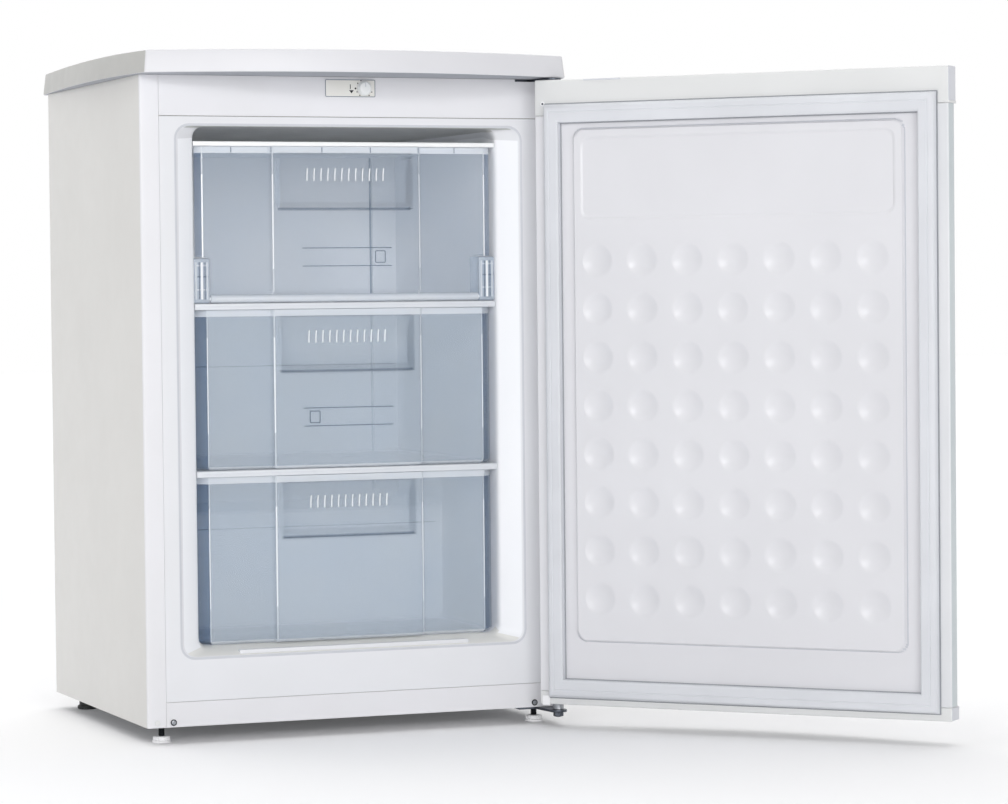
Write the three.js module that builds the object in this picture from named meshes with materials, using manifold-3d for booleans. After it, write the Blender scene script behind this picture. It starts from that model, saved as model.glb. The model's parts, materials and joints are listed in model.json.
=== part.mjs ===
// Under-counter upright freezer with an open door, a fold-down front flap and two drawers.
// Millimetres. +Z is up, the front faces -Y, the floor is Z = 0 and the cabinet's face is Y = 0.
import * as THREE from 'three';
import { mergeVertices } from 'three/addons/utils/BufferGeometryUtils.js';
import Module from 'manifold-3d';

const wasm = await Module();
wasm.setup();

// ---------------------------------------------------------------- driving dimensions

// Clearance between two pieces that touch, and the running clearances.
const seat = 0.3;
const slideClearance = 2;
const boreClearance = 0.4;

// How far a cutting tool runs past the face it cuts.
const over = 1;

// Cabinet shell.
const cabinetWidth = 545;
const cabinetDepth = 450;
const cabinetHeight = 801;
const floorClearance = 21;
const sheet = 0.8;
const foldRadius = 3;
const faceFlange = 23.8;
const rearFlange = 14.8;
const topRailHeight = 50;
const bottomRailHeight = 30.7;
const railFlangeDepth = 45;
const basePanThickness = 1.2;

// Worktop: a board with a bowed front and slightly bowed sides.
const worktopThickness = 28;
const worktopFrontReach = 93;
const worktopCornerReach = 36;
const worktopRearReach = 24;
const worktopSideBulge = 16;
const worktopCornerRadius = 9;
const worktopFrontInset = 1.5;
const worktopRearOutset = 1;
const worktopFlare = 1;
const worktopEdgeRound = 4;

// Cavity: the moulded liner, its sloped mouth and the step over the compressor.
const linerWall = 2;
const mouthSideMargin = 22;
const mouthTopMargin = 12.2;
const mouthBottomMargin = 54;
const mouthRadius = 13;
const mouthDepth = 19;
const mouthSlope = 26.4;
const sillRise = 11.3;
const sillDepth = 30;
const rearInsulation = 55;
const bayInsulation = 36;
const stepInsulation = 54;

// Compressor bay at the lower rear.
const bayDepth = 188;
const bayHeight = 195;

// Evaporator shelves: the compartments between their top faces, and their trims.
const upperShelfGap = 17.8;
const middleCompartmentHeight = 207.6;
const lowerCompartmentHeight = 216.6;
const upperTrimHeight = 5.8;
const trimHeight = 8;
const trimSideGap = 4;
const trimFront = 20;
const trimDepth = 10;
const shelfRearGap = 34.7;
const shelfTubeRadius = 3;
const shelfTubeSink = 0.6;
const shelfRunPitch = 54;
const shelfWireSize = 1.6;
const shelfWires = 5;
const shelfLedgeWidth = 4;
const shelfLedgeLength = 30;
const shelfLedgeHeight = 2;
const shelfLedgeDrop = 5.4;

// Clear fronts: the drawers and the flap share their plan and their finger scoop.
const clearWall = 2.5;
const frontPlane = 26;
const centreHalfWidth = 97;
const centreStep = 6.5;
const cornerFacet = 15;
const middleDrawerRear = 19;
const lowerDrawerRear = 6;
const rimHeight = 8;
const scoopHalfWidth = 88;
const scoopDepth = 19;
const scoopHeight = 70;
const scoopShoulder = 30;
const scoopHeel = 10;

// Flap over the top compartment.
const flapSideGap = 8;
const flapClearance = 0.5;
const flapBarrelRadius = 5;
const flapPivotRise = 5.8;
const flapCentreRise = 8.5;
const flapPinRadius = 2.2;
const flapPinLength = 5.5;
const bracketWidth = 18;
const bracketHeight = 56;
const bracketDepth = 34;
const bracketReach = 2;

// Door, described in its closed place.
const doorGap = 12;
const doorHeadGap = 0.8;
const doorEdgeDepth = 28;
const doorEdgeChamfer = 1;
const doorBow = 45;
const doorRim = 14.5;
const doorTopRim = 31;
const doorBottomRim = 9.2;
const topCapHeight = 45;
const bottomCapHeight = 16.8;
const capWall = 2;
const doorLinerWall = 1.6;
const gasketWidth = 21.4;
const panelRaise = 6;
const panelSkin = 5.2;
const panelHingeMargin = 53;
const panelFreeMargin = 58;
const panelTopMargin = 30.5;
const panelBottomMargin = 75.7;
const panelRadius = 26;
const recessMargin = 12;
const recessTopMargin = 11.7;
const recessHeight = 103;
const recessDepth = 1.5;
const dimplePitch = 60.6;
const dimpleRadius = 20;
const dimpleDepth = 3.4;
const dimpleSide = 33.7;
const dimpleFoot = 51.5;
const handleFaceDepth = 22;
const handleHollow = 36.5;
const handleMouth = 14.5;
const handleWall = 2;

// Door hinge.
const hingeInset = 14.5;
const hingeReach = 34.6;
const openAngle = THREE.MathUtils.degToRad(133.2);
const upperPlateThickness = 2.7;
const lowerPlateThickness = 3;
const hingeNose = 11;
const hingePlateWidth = 48;
const upperPlateSetback = 7;
const lowerScrewSetback = 6;
const upperPinRadius = 3.5;
const lowerPinRadius = 4;
const pinEngagement = 22;
const pinHeadBorder = 2;
const pinHeadHeight = 1;
const collarRadius = 7;
const collarHeight = 8.5;
const nutRadius = 7.5;
const nutHeight = 5.5;
const screwHeadRadius = 4;
const screwHeadHeight = 1.5;
const screwRadius = 2;
const screwLength = 10;
const hingeScrewInset = 12;
const hingeScrewSpacing = 20;

// Thermostat on the top rail.
const controlPlateWidth = 64.5;
const controlPlateHeight = 20;
const controlPlateRise = 14;
const controlPlateThickness = 1;
const controlPlateRadius = 2;
const knobRadius = 9;
const knobDepth = 6;
const knobOffset = 17.9;
const knobShaftRadius = 2.5;
const knobShaftLength = 8;
const thermostatWidth = 43;
const thermostatHeight = 30;
const thermostatDepth = 30;

// Screws and plug on the bottom rail.
const railScrewInset = 9;
const railScrewRise = 5.8;
const plugOffset = 20.5;
const plugRadius = 3.5;
const plugHeight = 1;

// Feet.
const footInset = 24.5;
const footSetback = 25;
const footPadRadius = 11.5;
const footPadHeight = 8;
const studRadius = 4;
const studRise = 22;
const studTravel = 12;
const rearFootRadius = 13;
const rearFootInset = 34;

// Cooling system.
const compressorRadius = 72;
const compressorHeight = 150;
const compressorX = 40;
const compressorStretch = 1.15;
const compressorLegSpan = 150;
const compressorLegDepth = 110;
const compressorLegThickness = 2.5;
const compressorPortHeight = 108;
const mountHeight = 14;
const mountRadius = 11;
const terminalBoxWidth = 42;
const terminalBoxHeight = 56;
const terminalBoxDepth = 26;
const condenserTubeRadius = 2.6;
const condenserRunPitch = 56;
const condenserSideGap = 67.5;
const condenserFootGap = 24;
const condenserHeadGap = 60;
const condenserStandoff = 10;
const condenserStrapWidth = 12;
const condenserStrapThickness = 1.2;
const condenserStrapEnd = 10;
const condenserFootHeight = 6;
const pipeRadius = 3;
const pipeBend = 10;
const dischargeReach = 40;
const suctionReach = 30;
const suctionSetback = 44.6;
const drierRadius = 9;
const drierLength = 90;
const drierNeck = 8;
const drierSideGap = 60;
const drierRearGap = 40;
const glandRadius = 9;
const glandHoleRadius = 6.5;
const glandOffset = 190;
const glandRise = 40;
const glandTabBorder = 5.4;
const glandEnd = 6;

// ---------------------------------------------------------------- places that follow

const cabinetHalf = cabinetWidth / 2;
const shellTop = floorClearance + cabinetHeight;
const faceHalf = cabinetHalf - faceFlange - seat;
const topRailFoot = shellTop - topRailHeight;
const bottomRailHead = floorClearance + bottomRailHeight;
const pinX = cabinetHalf - hingeInset;
const pinY = -hingeReach;
const upperPlateBottom = shellTop - seat - upperPlateThickness;
const lowerPlateTop = floorClearance - seat;
const doorTop = upperPlateBottom - doorHeadGap;
const doorBottom = lowerPlateTop + collarHeight + 2 * seat;
const doorInner = -doorGap;
const doorHalf = cabinetHalf;
const doorOuter = doorInner - doorEdgeDepth;
const gasketHalf = doorHalf - doorRim - seat;
const linerTop = doorTop - doorTopRim;
const linerBottom = doorBottom + doorBottomRim;
const capFoot = doorTop - topCapHeight;
const capHead = doorBottom + bottomCapHeight;
const panelTop = linerTop - panelTopMargin;
const panelBottom = linerBottom + panelBottomMargin;
const innerHalf = cabinetHalf - sheet - seat;
const mouthHalfWidth = faceHalf - mouthSideMargin;
const mouthBottom = bottomRailHead + mouthBottomMargin;
const cavityHalfWidth = mouthHalfWidth - mouthSlope;
const cavityFloor = mouthBottom + sillRise;
const cavityTop = topRailFoot - mouthTopMargin;
const cavityDepth = cabinetDepth - rearInsulation;
const lowerCavityDepth = cabinetDepth - bayDepth - bayInsulation;
const bayRoof = floorClearance + bayHeight;
const stepHeight = bayRoof + stepInsulation;
const upperShelfTop = cavityTop - upperShelfGap;
const lowerShelfTop = cavityFloor + lowerCompartmentHeight;
const middleShelfTop = lowerShelfTop + middleCompartmentHeight;
const trimHalfWidth = cavityHalfWidth - trimSideGap;
const drawerHalfWidth = cavityHalfWidth - slideClearance;
const middleDrawerDepth = cavityDepth - frontPlane - middleDrawerRear;
const lowerDrawerDepth = lowerCavityDepth - frontPlane - lowerDrawerRear;
const flapHalfWidth = cavityHalfWidth - flapSideGap;
const middleDrawerFloor = lowerShelfTop + seat;
const middleDrawerRim = middleShelfTop - trimHeight - seat;
const lowerDrawerFloor = cavityFloor + seat;
const lowerDrawerRim = lowerShelfTop - trimHeight - seat;
const flapAxisY = frontPlane + clearWall / 5;
const flapAxisZ = middleShelfTop + flapPivotRise;
const flapTop = upperShelfTop - upperTrimHeight - seat;
const railShelfZ = upperPlateBottom - seat;
const controlZ = shellTop - controlPlateRise;
const upperPlateRear = railFlangeDepth - upperPlateSetback;
const lowerHingeScrewY = railFlangeDepth - lowerScrewSetback;
const shelfFront = trimFront + trimDepth + seat;
const shelfRoom = cavityDepth - shelfRearGap - shelfFront - 2 * shelfTubeRadius;
const shelfRuns = Math.floor(shelfRoom / shelfRunPitch + seat) + 1;
const shelfBack = shelfFront + (shelfRuns - 1) * shelfRunPitch + 2 * shelfTubeRadius;
const shelfTubeHalf = cavityHalfWidth - shelfLedgeWidth - shelfTubeRadius - slideClearance;
const shelfRailHalf = cavityHalfWidth - seat - shelfWireSize;
const bracketInner = cavityHalfWidth - flapClearance - bracketWidth;
const compressorY = cabinetDepth - bayDepth / 2;
const condenserHalfWidth = cabinetHalf - condenserSideGap;
const condenserFoot = bayRoof + condenserFootGap;
const condenserY = cabinetDepth + condenserStandoff;
const glandZ = floorClearance + glandRise;

// ---------------------------------------------------------------- finishes

const whitePaint = { color: 0xe9e8ec, roughness: 0.32, metalness: 0 };
const whiteLaminate = { color: 0xe9e8ec, roughness: 0.3, metalness: 0 };
const whitePlastic = { color: 0xe8e8ec, roughness: 0.4, metalness: 0 };
const linerPlastic = { color: 0xe6e7ea, roughness: 0.45, metalness: 0 };
const creamPlastic = { color: 0xe9e6dc, roughness: 0.45, metalness: 0 };
const clearPlastic = { color: 0xa6bccd, roughness: 0.08, transparent: true, opacity: 0.45 };
const gasketRubber = { color: 0xdfe0e6, roughness: 0.6, metalness: 0 };
const edgeStrip = { color: 0xcdd2d5, roughness: 0.4, metalness: 0 };
const foam = { color: 0xd9cf9f, roughness: 0.95, metalness: 0 };
const zincSteel = { color: 0xa9abad, roughness: 0.35, metalness: 0.9 };
const darkSteel = { color: 0x3a3c3f, roughness: 0.45, metalness: 0.7 };
const blackEnamel = { color: 0x16171a, roughness: 0.35, metalness: 0.2 };
const copper = { color: 0xb87345, roughness: 0.3, metalness: 1 };
const blackPlastic = { color: 0x1d1e20, roughness: 0.5, metalness: 0 };
const blackRubber = { color: 0x1b1b1b, roughness: 0.85, metalness: 0 };

// ---------------------------------------------------------------- shape helpers

/** A point of an outline. */
const at = (a, b) => new THREE.Vector2(a, b);

/** Closed solid: an outline in X and Y, raised from one height to another. */
function plate(outline, bottom, top) {
  const shape = outline instanceof THREE.Shape ? outline : new THREE.Shape(outline);
  const options = { depth: top - bottom, bevelEnabled: false, curveSegments: 3 };
  return new THREE.ExtrudeGeometry(shape, options).translate(0, 0, bottom);
}

/** Closed solid: an outline in X and Z, filled from a front Y to a back Y. */
function panel(outline, front, back) {
  return plate(outline, 0, back - front).rotateX(Math.PI / 2).translate(0, back, 0);
}

/** Closed solid: an outline in Y and Z, filled from a left X to a right X. */
function bar(outline, left, right) {
  return plate(outline, left, right).rotateX(Math.PI / 2).rotateZ(Math.PI / 2);
}

/** Closed box between two corners. */
function block(x0, x1, y0, y1, z0, z1) {
  const geometry = new THREE.BoxGeometry(x1 - x0, y1 - y0, z1 - z0);
  return geometry.translate((x0 + x1) / 2, (y0 + y1) / 2, (z0 + z1) / 2);
}

/** Upright cylinder. */
function rod(x, y, radius, bottom, top, sides = 16) {
  const geometry = new THREE.CylinderGeometry(radius, radius, top - bottom, sides);
  return geometry.rotateX(Math.PI / 2).translate(x, y, (bottom + top) / 2);
}

/** Cylinder along Y. */
function pinThrough(x, z, radius, front, back, sides = 16) {
  const geometry = new THREE.CylinderGeometry(radius, radius, back - front, sides);
  return geometry.translate(x, (front + back) / 2, z);
}

/** Cylinder along X. */
function barrel(y, z, radius, left, right, sides = 16) {
  const geometry = new THREE.CylinderGeometry(radius, radius, right - left, sides);
  return geometry.rotateZ(Math.PI / 2).translate((left + right) / 2, y, z);
}

/** Two distances from the middle as places on one side of it, the lower place first. */
function sideSpan(side, near, far) {
  return side < 0 ? [-far, -near] : [near, far];
}

/** Rectangle with rounded corners. */
function roundedRectangle(left, right, low, high, radius) {
  const shape = new THREE.Shape();
  shape.absarc(right - radius, low + radius, radius, -Math.PI / 2, 0);
  shape.absarc(right - radius, high - radius, radius, 0, Math.PI / 2);
  shape.absarc(left + radius, high - radius, radius, Math.PI / 2, Math.PI);
  shape.absarc(left + radius, low + radius, radius, Math.PI, Math.PI * 1.5);
  return shape;
}

/** The points of an open path moved to its left by a distance, with mitred corners. */
function offsetPath(points, distance) {
  return points.map((point, index) => {
    const before = points[Math.max(index - 1, 0)];
    const after = points[Math.min(index + 1, points.length - 1)];
    const arrive = index > 0 ? point.clone().sub(before) : after.clone().sub(point);
    const leave = index < points.length - 1 ? after.clone().sub(point) : arrive.clone();
    const arriveSide = at(-arrive.y, arrive.x).normalize();
    const leaveSide = at(-leave.y, leave.x).normalize();
    const mitre = arriveSide.clone().add(leaveSide).normalize();
    return point.clone().addScaledVector(mitre, distance / mitre.dot(arriveSide));
  });
}

/** A closed outline, drawn anticlockwise, moved inward by a distance. */
function insetRing(points, distance) {
  return offsetPath([points.at(-1), ...points, points[0]], distance).slice(1, -1);
}

/** Outline of a bent sheet, from the path of one face; the thickness lies to the path's left. */
function bentSheet(path, thickness) {
  return [...path, ...offsetPath(path, thickness).reverse()];
}

/** A route of straight lengths whose corners fall on even steps. */
class Route extends THREE.Curve {
  constructor(points) {
    super();
    this.points = points;
  }

  getPoint(t, target = new THREE.Vector3()) {
    const place = t * (this.points.length - 1);
    const index = Math.min(Math.floor(place + 1e-6), this.points.length - 2);
    return target.copy(this.points[index]).lerp(this.points[index + 1], place - index);
  }

  getTangent(t, target = new THREE.Vector3()) {
    const last = this.points.length - 1;
    const index = Math.round(t * last);
    const here = this.points[index];
    const leave = this.points[Math.min(index + 1, last)].clone().sub(here).normalize();
    const arrive = here.clone().sub(this.points[Math.max(index - 1, 0)]).normalize();
    return target.copy(leave.add(arrive)).normalize();
  }

  getUtoTmapping(u) {
    return u;
  }
}

/** Tube with a round section through all the points. */
function sweep(points, radius, sides = 8) {
  const section = new THREE.Shape();
  section.absarc(0, 0, radius, 0, Math.PI * 2);
  const options = { steps: points.length - 1, extrudePath: new Route(points), curveSegments: sides / 2 };
  return new THREE.ExtrudeGeometry(section, options);
}

/** Manifold solid of a closed geometry. */
function toSolid(geometry) {
  geometry.deleteAttribute('normal');
  geometry.deleteAttribute('uv');
  const merged = mergeVertices(geometry);
  const triVerts = new Uint32Array(merged.index.array);
  const vertProperties = merged.attributes.position.array;
  return new wasm.Manifold(new wasm.Mesh({ numProp: 3, vertProperties, triVerts }));
}

/** Geometry of a manifold solid. */
function toGeometry(solid) {
  const { vertProperties, triVerts } = solid.getMesh();
  const geometry = new THREE.BufferGeometry();
  geometry.setAttribute('position', new THREE.BufferAttribute(vertProperties, 3));
  geometry.setIndex(new THREE.BufferAttribute(triVerts, 1));
  return geometry;
}

/** One body of all the given geometries. */
function join(...geometries) {
  return toGeometry(geometries.map(toSolid).reduce((whole, next) => whole.add(next)));
}

/** The first geometry with all the others cut out of it. */
function cut(base, ...tools) {
  return toGeometry(tools.map(toSolid).reduce((rest, tool) => rest.subtract(tool), toSolid(base)));
}

/** What two geometries have in common. */
function common(a, b) {
  return toGeometry(toSolid(a).intersect(toSolid(b)));
}

// ---------------------------------------------------------------- scene graph

const freezer = new THREE.Group();

const doorSwing = new THREE.Group();
doorSwing.position.set(pinX, pinY, 0);
doorSwing.rotation.z = openAngle;
freezer.add(doorSwing);

const doorLeaf = new THREE.Group();
doorLeaf.position.set(-pinX, -pinY, 0);
doorSwing.add(doorLeaf);

/** Adds a named piece with its own material. */
function piece(name, geometry, finish, parent = freezer) {
  const mesh = new THREE.Mesh(geometry, new THREE.MeshStandardMaterial(finish));
  mesh.name = name;
  parent.add(mesh);
  return mesh;
}

// ---------------------------------------------------------------- worktop and shell

/** Plan of the worktop: bowed front, bowed sides, small corners. */
function worktopPlan() {
  const frontX = cabinetHalf - worktopFrontInset;
  const rearX = cabinetHalf + worktopRearOutset;
  const frontY = -worktopCornerReach;
  const rearY = cabinetDepth + worktopRearReach;
  const frontControl = frontY - 2 * (worktopFrontReach - worktopCornerReach);
  const sideControl = frontX + 2 * worktopSideBulge;
  const sideMiddle = cabinetDepth / 4;
  const r = worktopCornerRadius;
  const shape = new THREE.Shape();
  shape.moveTo(-frontX + r, frontY);
  shape.quadraticCurveTo(0, frontControl, frontX - r, frontY);
  shape.quadraticCurveTo(frontX, frontY + r / 4, frontX + worktopFlare, frontY + r);
  shape.quadraticCurveTo(sideControl, sideMiddle, rearX, rearY - r);
  shape.quadraticCurveTo(rearX - worktopFlare, rearY, frontX - r, rearY);
  shape.lineTo(-frontX + r, rearY);
  shape.quadraticCurveTo(-rearX + worktopFlare, rearY, -rearX, rearY - r);
  shape.quadraticCurveTo(-sideControl, sideMiddle, -frontX - worktopFlare, frontY + r);
  shape.quadraticCurveTo(-frontX, frontY + r / 4, -frontX + r, frontY);
  return shape;
}

function makeWorktop() {
  const geometry = new THREE.ExtrudeGeometry(worktopPlan(), {
    depth: worktopThickness - 2 * worktopEdgeRound,
    bevelEnabled: true,
    bevelThickness: worktopEdgeRound,
    bevelSize: worktopEdgeRound,
    bevelOffset: -worktopEdgeRound,
    bevelSegments: 2,
    curveSegments: 12,
  });
  piece('worktop', geometry.translate(0, 0, shellTop + worktopEdgeRound), whiteLaminate);
}

/** Side panel: a sheet folded round the face and the rear. Side -1 is the left one, +1 the right. */
function sidePanel(side) {
  const path = [
    at(side * (cabinetHalf - faceFlange), 0),
    at(side * (cabinetHalf - foldRadius), 0),
    at(side * cabinetHalf, foldRadius),
    at(side * cabinetHalf, cabinetDepth - foldRadius),
    at(side * (cabinetHalf - foldRadius), cabinetDepth),
    at(side * (cabinetHalf - rearFlange), cabinetDepth),
  ];
  return plate(bentSheet(path, side * sheet), floorClearance, shellTop - seat);
}

/** Everything inside the folded side panels, between two depths and two heights. */
function insideShell(front, back, bottom, top) {
  const folded = cabinetHalf - foldRadius;
  const ring = [
    at(-folded, 0),
    at(folded, 0),
    at(cabinetHalf, foldRadius),
    at(cabinetHalf, cabinetDepth - foldRadius),
    at(folded, cabinetDepth),
    at(-folded, cabinetDepth),
    at(-cabinetHalf, cabinetDepth - foldRadius),
    at(-cabinetHalf, foldRadius),
  ];
  const whole = plate(insetRing(ring, sheet + seat), bottom, top);
  return common(whole, block(-cabinetHalf, cabinetHalf, front, back, bottom - over, top + over));
}

/** Space that the upper hinge plate takes at the top of the face. */
function upperHingeNotch() {
  const left = pinX + hingeNose - hingePlateWidth - seat;
  const right = pinX + hingeNose + seat;
  return block(left, right, -over, foldRadius, upperPlateBottom - seat, shellTop + over);
}

function makeSidePanels() {
  piece('left_side_panel', sidePanel(-1), whitePaint);
  piece('right_side_panel', cut(sidePanel(1), upperHingeNotch()), whitePaint);
}

/** Countersunk places of the hinge screws, along X. */
function hingeScrewPlaces() {
  const first = pinX + hingeNose - hingePlateWidth + hingeScrewInset;
  return [first, first + hingeScrewSpacing];
}

/** Notches beside a rail's face, where the side panels fold round onto the face. */
function faceFoldNotches(low, high) {
  return [-1, 1].map((side) => {
    return block(...sideSpan(side, faceHalf, cabinetHalf + over), -over, foldRadius + sheet, low, high);
  });
}

function makeTopRail() {
  const profile = [
    at(0, topRailFoot + seat),
    at(sheet, topRailFoot + seat),
    at(sheet, railShelfZ - sheet),
    at(railFlangeDepth, railShelfZ - sheet),
    at(railFlangeDepth, railShelfZ),
    at(sheet, railShelfZ),
    at(sheet, shellTop - seat),
    at(0, shellTop - seat),
  ];
  const screwHoles = hingeScrewPlaces().map((x) => {
    const low = railShelfZ - sheet - over;
    return rod(x, upperPlateRear / 2, screwRadius + seat, low, railShelfZ + over, 10);
  });
  const shaftHole = pinThrough(knobOffset, controlZ, knobShaftRadius + over, -over, sheet + over);
  const notches = faceFoldNotches(topRailFoot - over, shellTop + over);
  const tools = [...notches, upperHingeNotch(), shaftHole, ...screwHoles];
  piece('front_top_rail', cut(bar(profile, -innerHalf, innerHalf), ...tools), whitePaint);
}

/** Hole of a front foot's stud through the sheet below the cabinet. */
function studHole(side, bottom, top) {
  return rod(side * (cabinetHalf - footInset), footSetback, studRadius + boreClearance, bottom, top, 14);
}

function makeBottomRail() {
  const path = [
    at(0, bottomRailHead - seat),
    at(0, floorClearance),
    at(railFlangeDepth, floorClearance),
  ];
  const low = floorClearance - over;
  const high = floorClearance + sheet + over;
  const screwHoles = hingeScrewPlaces().map((x) => {
    return rod(x, lowerHingeScrewY, screwRadius + seat, low, high, 10);
  });
  const faceHoles = [-1, 1].map((side) => {
    const x = side * (faceHalf - railScrewInset);
    const radius = screwRadius + seat;
    return pinThrough(x, floorClearance + railScrewRise, radius, -over, sheet + over, 10);
  });
  const studHoles = [-1, 1].map((side) => studHole(side, low, high));
  const tools = [...faceFoldNotches(low, shellTop), ...studHoles, ...screwHoles, ...faceHoles];
  const rail = bar(bentSheet(path, sheet), -innerHalf, innerHalf);
  piece('front_bottom_rail', cut(rail, ...tools), whitePaint);
}

// ---------------------------------------------------------------- liner, foam and rear

/** The cavity's space, grown outward: the sloped mouth, the main space and the stepped foot. */
function cavitySpace(grow, front) {
  const slopeHalf = mouthHalfWidth + grow;
  const wallHalf = cavityHalfWidth + grow;
  const plan = [
    at(-slopeHalf, front),
    at(slopeHalf, front),
    at(slopeHalf, 0),
    at(wallHalf, mouthDepth),
    at(wallHalf, cavityDepth + grow),
    at(-wallHalf, cavityDepth + grow),
    at(-wallHalf, mouthDepth),
    at(-slopeHalf, 0),
  ];
  const side = [
    at(front, cavityTop + grow),
    at(front, mouthBottom - grow),
    at(0, mouthBottom - grow),
    at(sillDepth, cavityFloor - grow),
    at(lowerCavityDepth + grow, cavityFloor - grow),
    at(lowerCavityDepth + grow, stepHeight - grow),
    at(cavityDepth + grow, stepHeight - grow),
    at(cavityDepth + grow, cavityTop + grow),
  ];
  const low = mouthBottom - grow;
  const high = cavityTop + grow;
  const round = roundedRectangle(-slopeHalf, slopeHalf, low, high, mouthRadius + grow);
  const outline = common(plate(plan, low - over, high + over), bar(side, -slopeHalf, slopeHalf));
  return common(outline, panel(round, front - over, cavityDepth + grow + over));
}

/** Ledges on the liner's side walls that carry the evaporator shelves. */
function shelfLedges() {
  const ledges = [];
  for (const shelfTop of [upperShelfTop, middleShelfTop, lowerShelfTop]) {
    const top = shelfTop - shelfLedgeDrop;
    for (const side of [-1, 1]) {
      const ends = sideSpan(side, cavityHalfWidth - shelfLedgeWidth, cavityHalfWidth + linerWall / 2);
      for (const y of [shelfFront + shelfLedgeLength, shelfBack - shelfLedgeLength]) {
        ledges.push(block(...ends, y, y + shelfLedgeLength, top - shelfLedgeHeight, top));
      }
    }
  }
  return ledges;
}

function makeLiner() {
  const low = bottomRailHead;
  const high = topRailFoot - seat;
  const flange = block(-faceHalf, faceHalf, 0, linerWall, low, high);
  const shell = join(flange, cavitySpace(linerWall, 0));
  const hollow = cut(shell, cavitySpace(0, -over));
  piece('inner_liner', join(hollow, ...shelfLedges()), linerPlastic);
}

/** Space of the compressor bay, grown by a distance. */
function baySpace(grow) {
  const front = cabinetDepth - bayDepth - grow;
  const low = floorClearance - over;
  return block(-cabinetHalf, cabinetHalf, front, cabinetDepth + over, low, bayRoof + grow);
}

function makeFoam() {
  const front = linerWall + seat;
  const back = cabinetDepth - sheet - seat;
  const bottom = floorClearance + basePanThickness + seat;
  const whole = insideShell(front, back, bottom, shellTop - seat);
  const railFoot = railShelfZ - sheet - seat;
  const railPocket = block(-cabinetHalf, cabinetHalf, 0, railFlangeDepth + seat, railFoot, shellTop);
  const thermostatPocket = block(
    knobOffset - controlPlateWidth / 2,
    knobOffset + controlPlateWidth / 2,
    0,
    thermostatDepth + slideClearance,
    controlZ - thermostatHeight / 2 - seat,
    shellTop,
  );
  const screwRoom = screwRadius + seat;
  const studPockets = [-1, 1].map((side) => {
    const x = side * (cabinetHalf - footInset);
    const top = floorClearance + studRise + studTravel;
    return rod(x, footSetback, studRadius + slideClearance, 0, top, 14);
  });
  const lowerScrewPockets = hingeScrewPlaces().map((x) => {
    return rod(x, lowerHingeScrewY, screwRoom, 0, floorClearance + screwLength + seat, 10);
  });
  const upperScrewPockets = hingeScrewPlaces().map((x) => {
    return rod(x, upperPlateRear / 2, screwRoom, shellTop - 2 * screwLength, shellTop, 10);
  });
  const faceScrewPockets = [-1, 1].map((side) => {
    const x = side * (faceHalf - railScrewInset);
    const z = floorClearance + railScrewRise;
    return pinThrough(x, z, screwRoom, 0, screwLength + 2 * seat, 10);
  });
  const screwPockets = [...lowerScrewPockets, ...upperScrewPockets, ...faceScrewPockets];
  const pockets = [railPocket, thermostatPocket, ...studPockets, ...screwPockets];
  const rest = cut(whole, cavitySpace(linerWall + seat, 0), baySpace(sheet + seat), ...pockets);
  piece('insulation_foam', rest, foam);
}

function makeBackPanel() {
  const bayFront = cabinetDepth - bayDepth;
  const upperHalf = cabinetHalf - rearFlange - seat;
  const path = [
    at(cabinetDepth, shellTop - seat),
    at(cabinetDepth, bayRoof),
    at(bayFront, bayRoof),
    at(bayFront, floorClearance + basePanThickness + seat),
  ];
  const middle = bar(bentSheet(path, -sheet), -upperHalf, upperHalf);
  const bayPath = [at(cabinetDepth - sheet - seat, bayRoof), path[2], path[3]];
  const bay = bar(bentSheet(bayPath, -sheet), -innerHalf, innerHalf);
  const room = insideShell(bayFront - over, cabinetDepth, floorClearance, bayRoof + sheet + over);
  piece('back_panel', join(middle, common(bay, room)), whitePaint);
}

function makeBasePan() {
  const front = railFlangeDepth + seat;
  const back = cabinetDepth - sheet - seat;
  const pan = insideShell(front, back, floorClearance, floorClearance + basePanThickness);
  const tabHalf = glandRadius + glandTabBorder;
  const tab = block(
    glandOffset - tabHalf,
    glandOffset + tabHalf,
    back - basePanThickness,
    back,
    floorClearance,
    glandZ + tabHalf,
  );
  const tabFront = back - basePanThickness - over;
  const hole = pinThrough(glandOffset, glandZ, glandHoleRadius + seat, tabFront, back + over);
  const high = floorClearance + basePanThickness + over;
  const mountHoles = compressorLegPlaces().map(([x, y]) => rod(x, y, screwRadius, 0, high, 8));
  piece('base_pan', cut(join(pan, tab), hole, ...mountHoles), zincSteel);
}

// ---------------------------------------------------------------- evaporator shelves

/** Points of a flat serpentine: level runs joined by round bends, put in place by a function. */
function serpentinePoints(halfWidth, pitch, runs, place) {
  const bendRadius = pitch / 2;
  const bendSteps = 4;
  const points = [];
  for (let run = 0; run < runs; run += 1) {
    const heading = run % 2 === 0 ? 1 : -1;
    const end = halfWidth - bendRadius;
    points.push(place(-heading * end, run * pitch));
    points.push(place(heading * end, run * pitch));
    for (let step = 1; step < bendSteps && run < runs - 1; step += 1) {
      const angle = (Math.PI * step) / bendSteps;
      const across = heading * (end + bendRadius * Math.sin(angle));
      points.push(place(across, run * pitch + bendRadius * (1 - Math.cos(angle))));
    }
  }
  return points;
}

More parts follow.
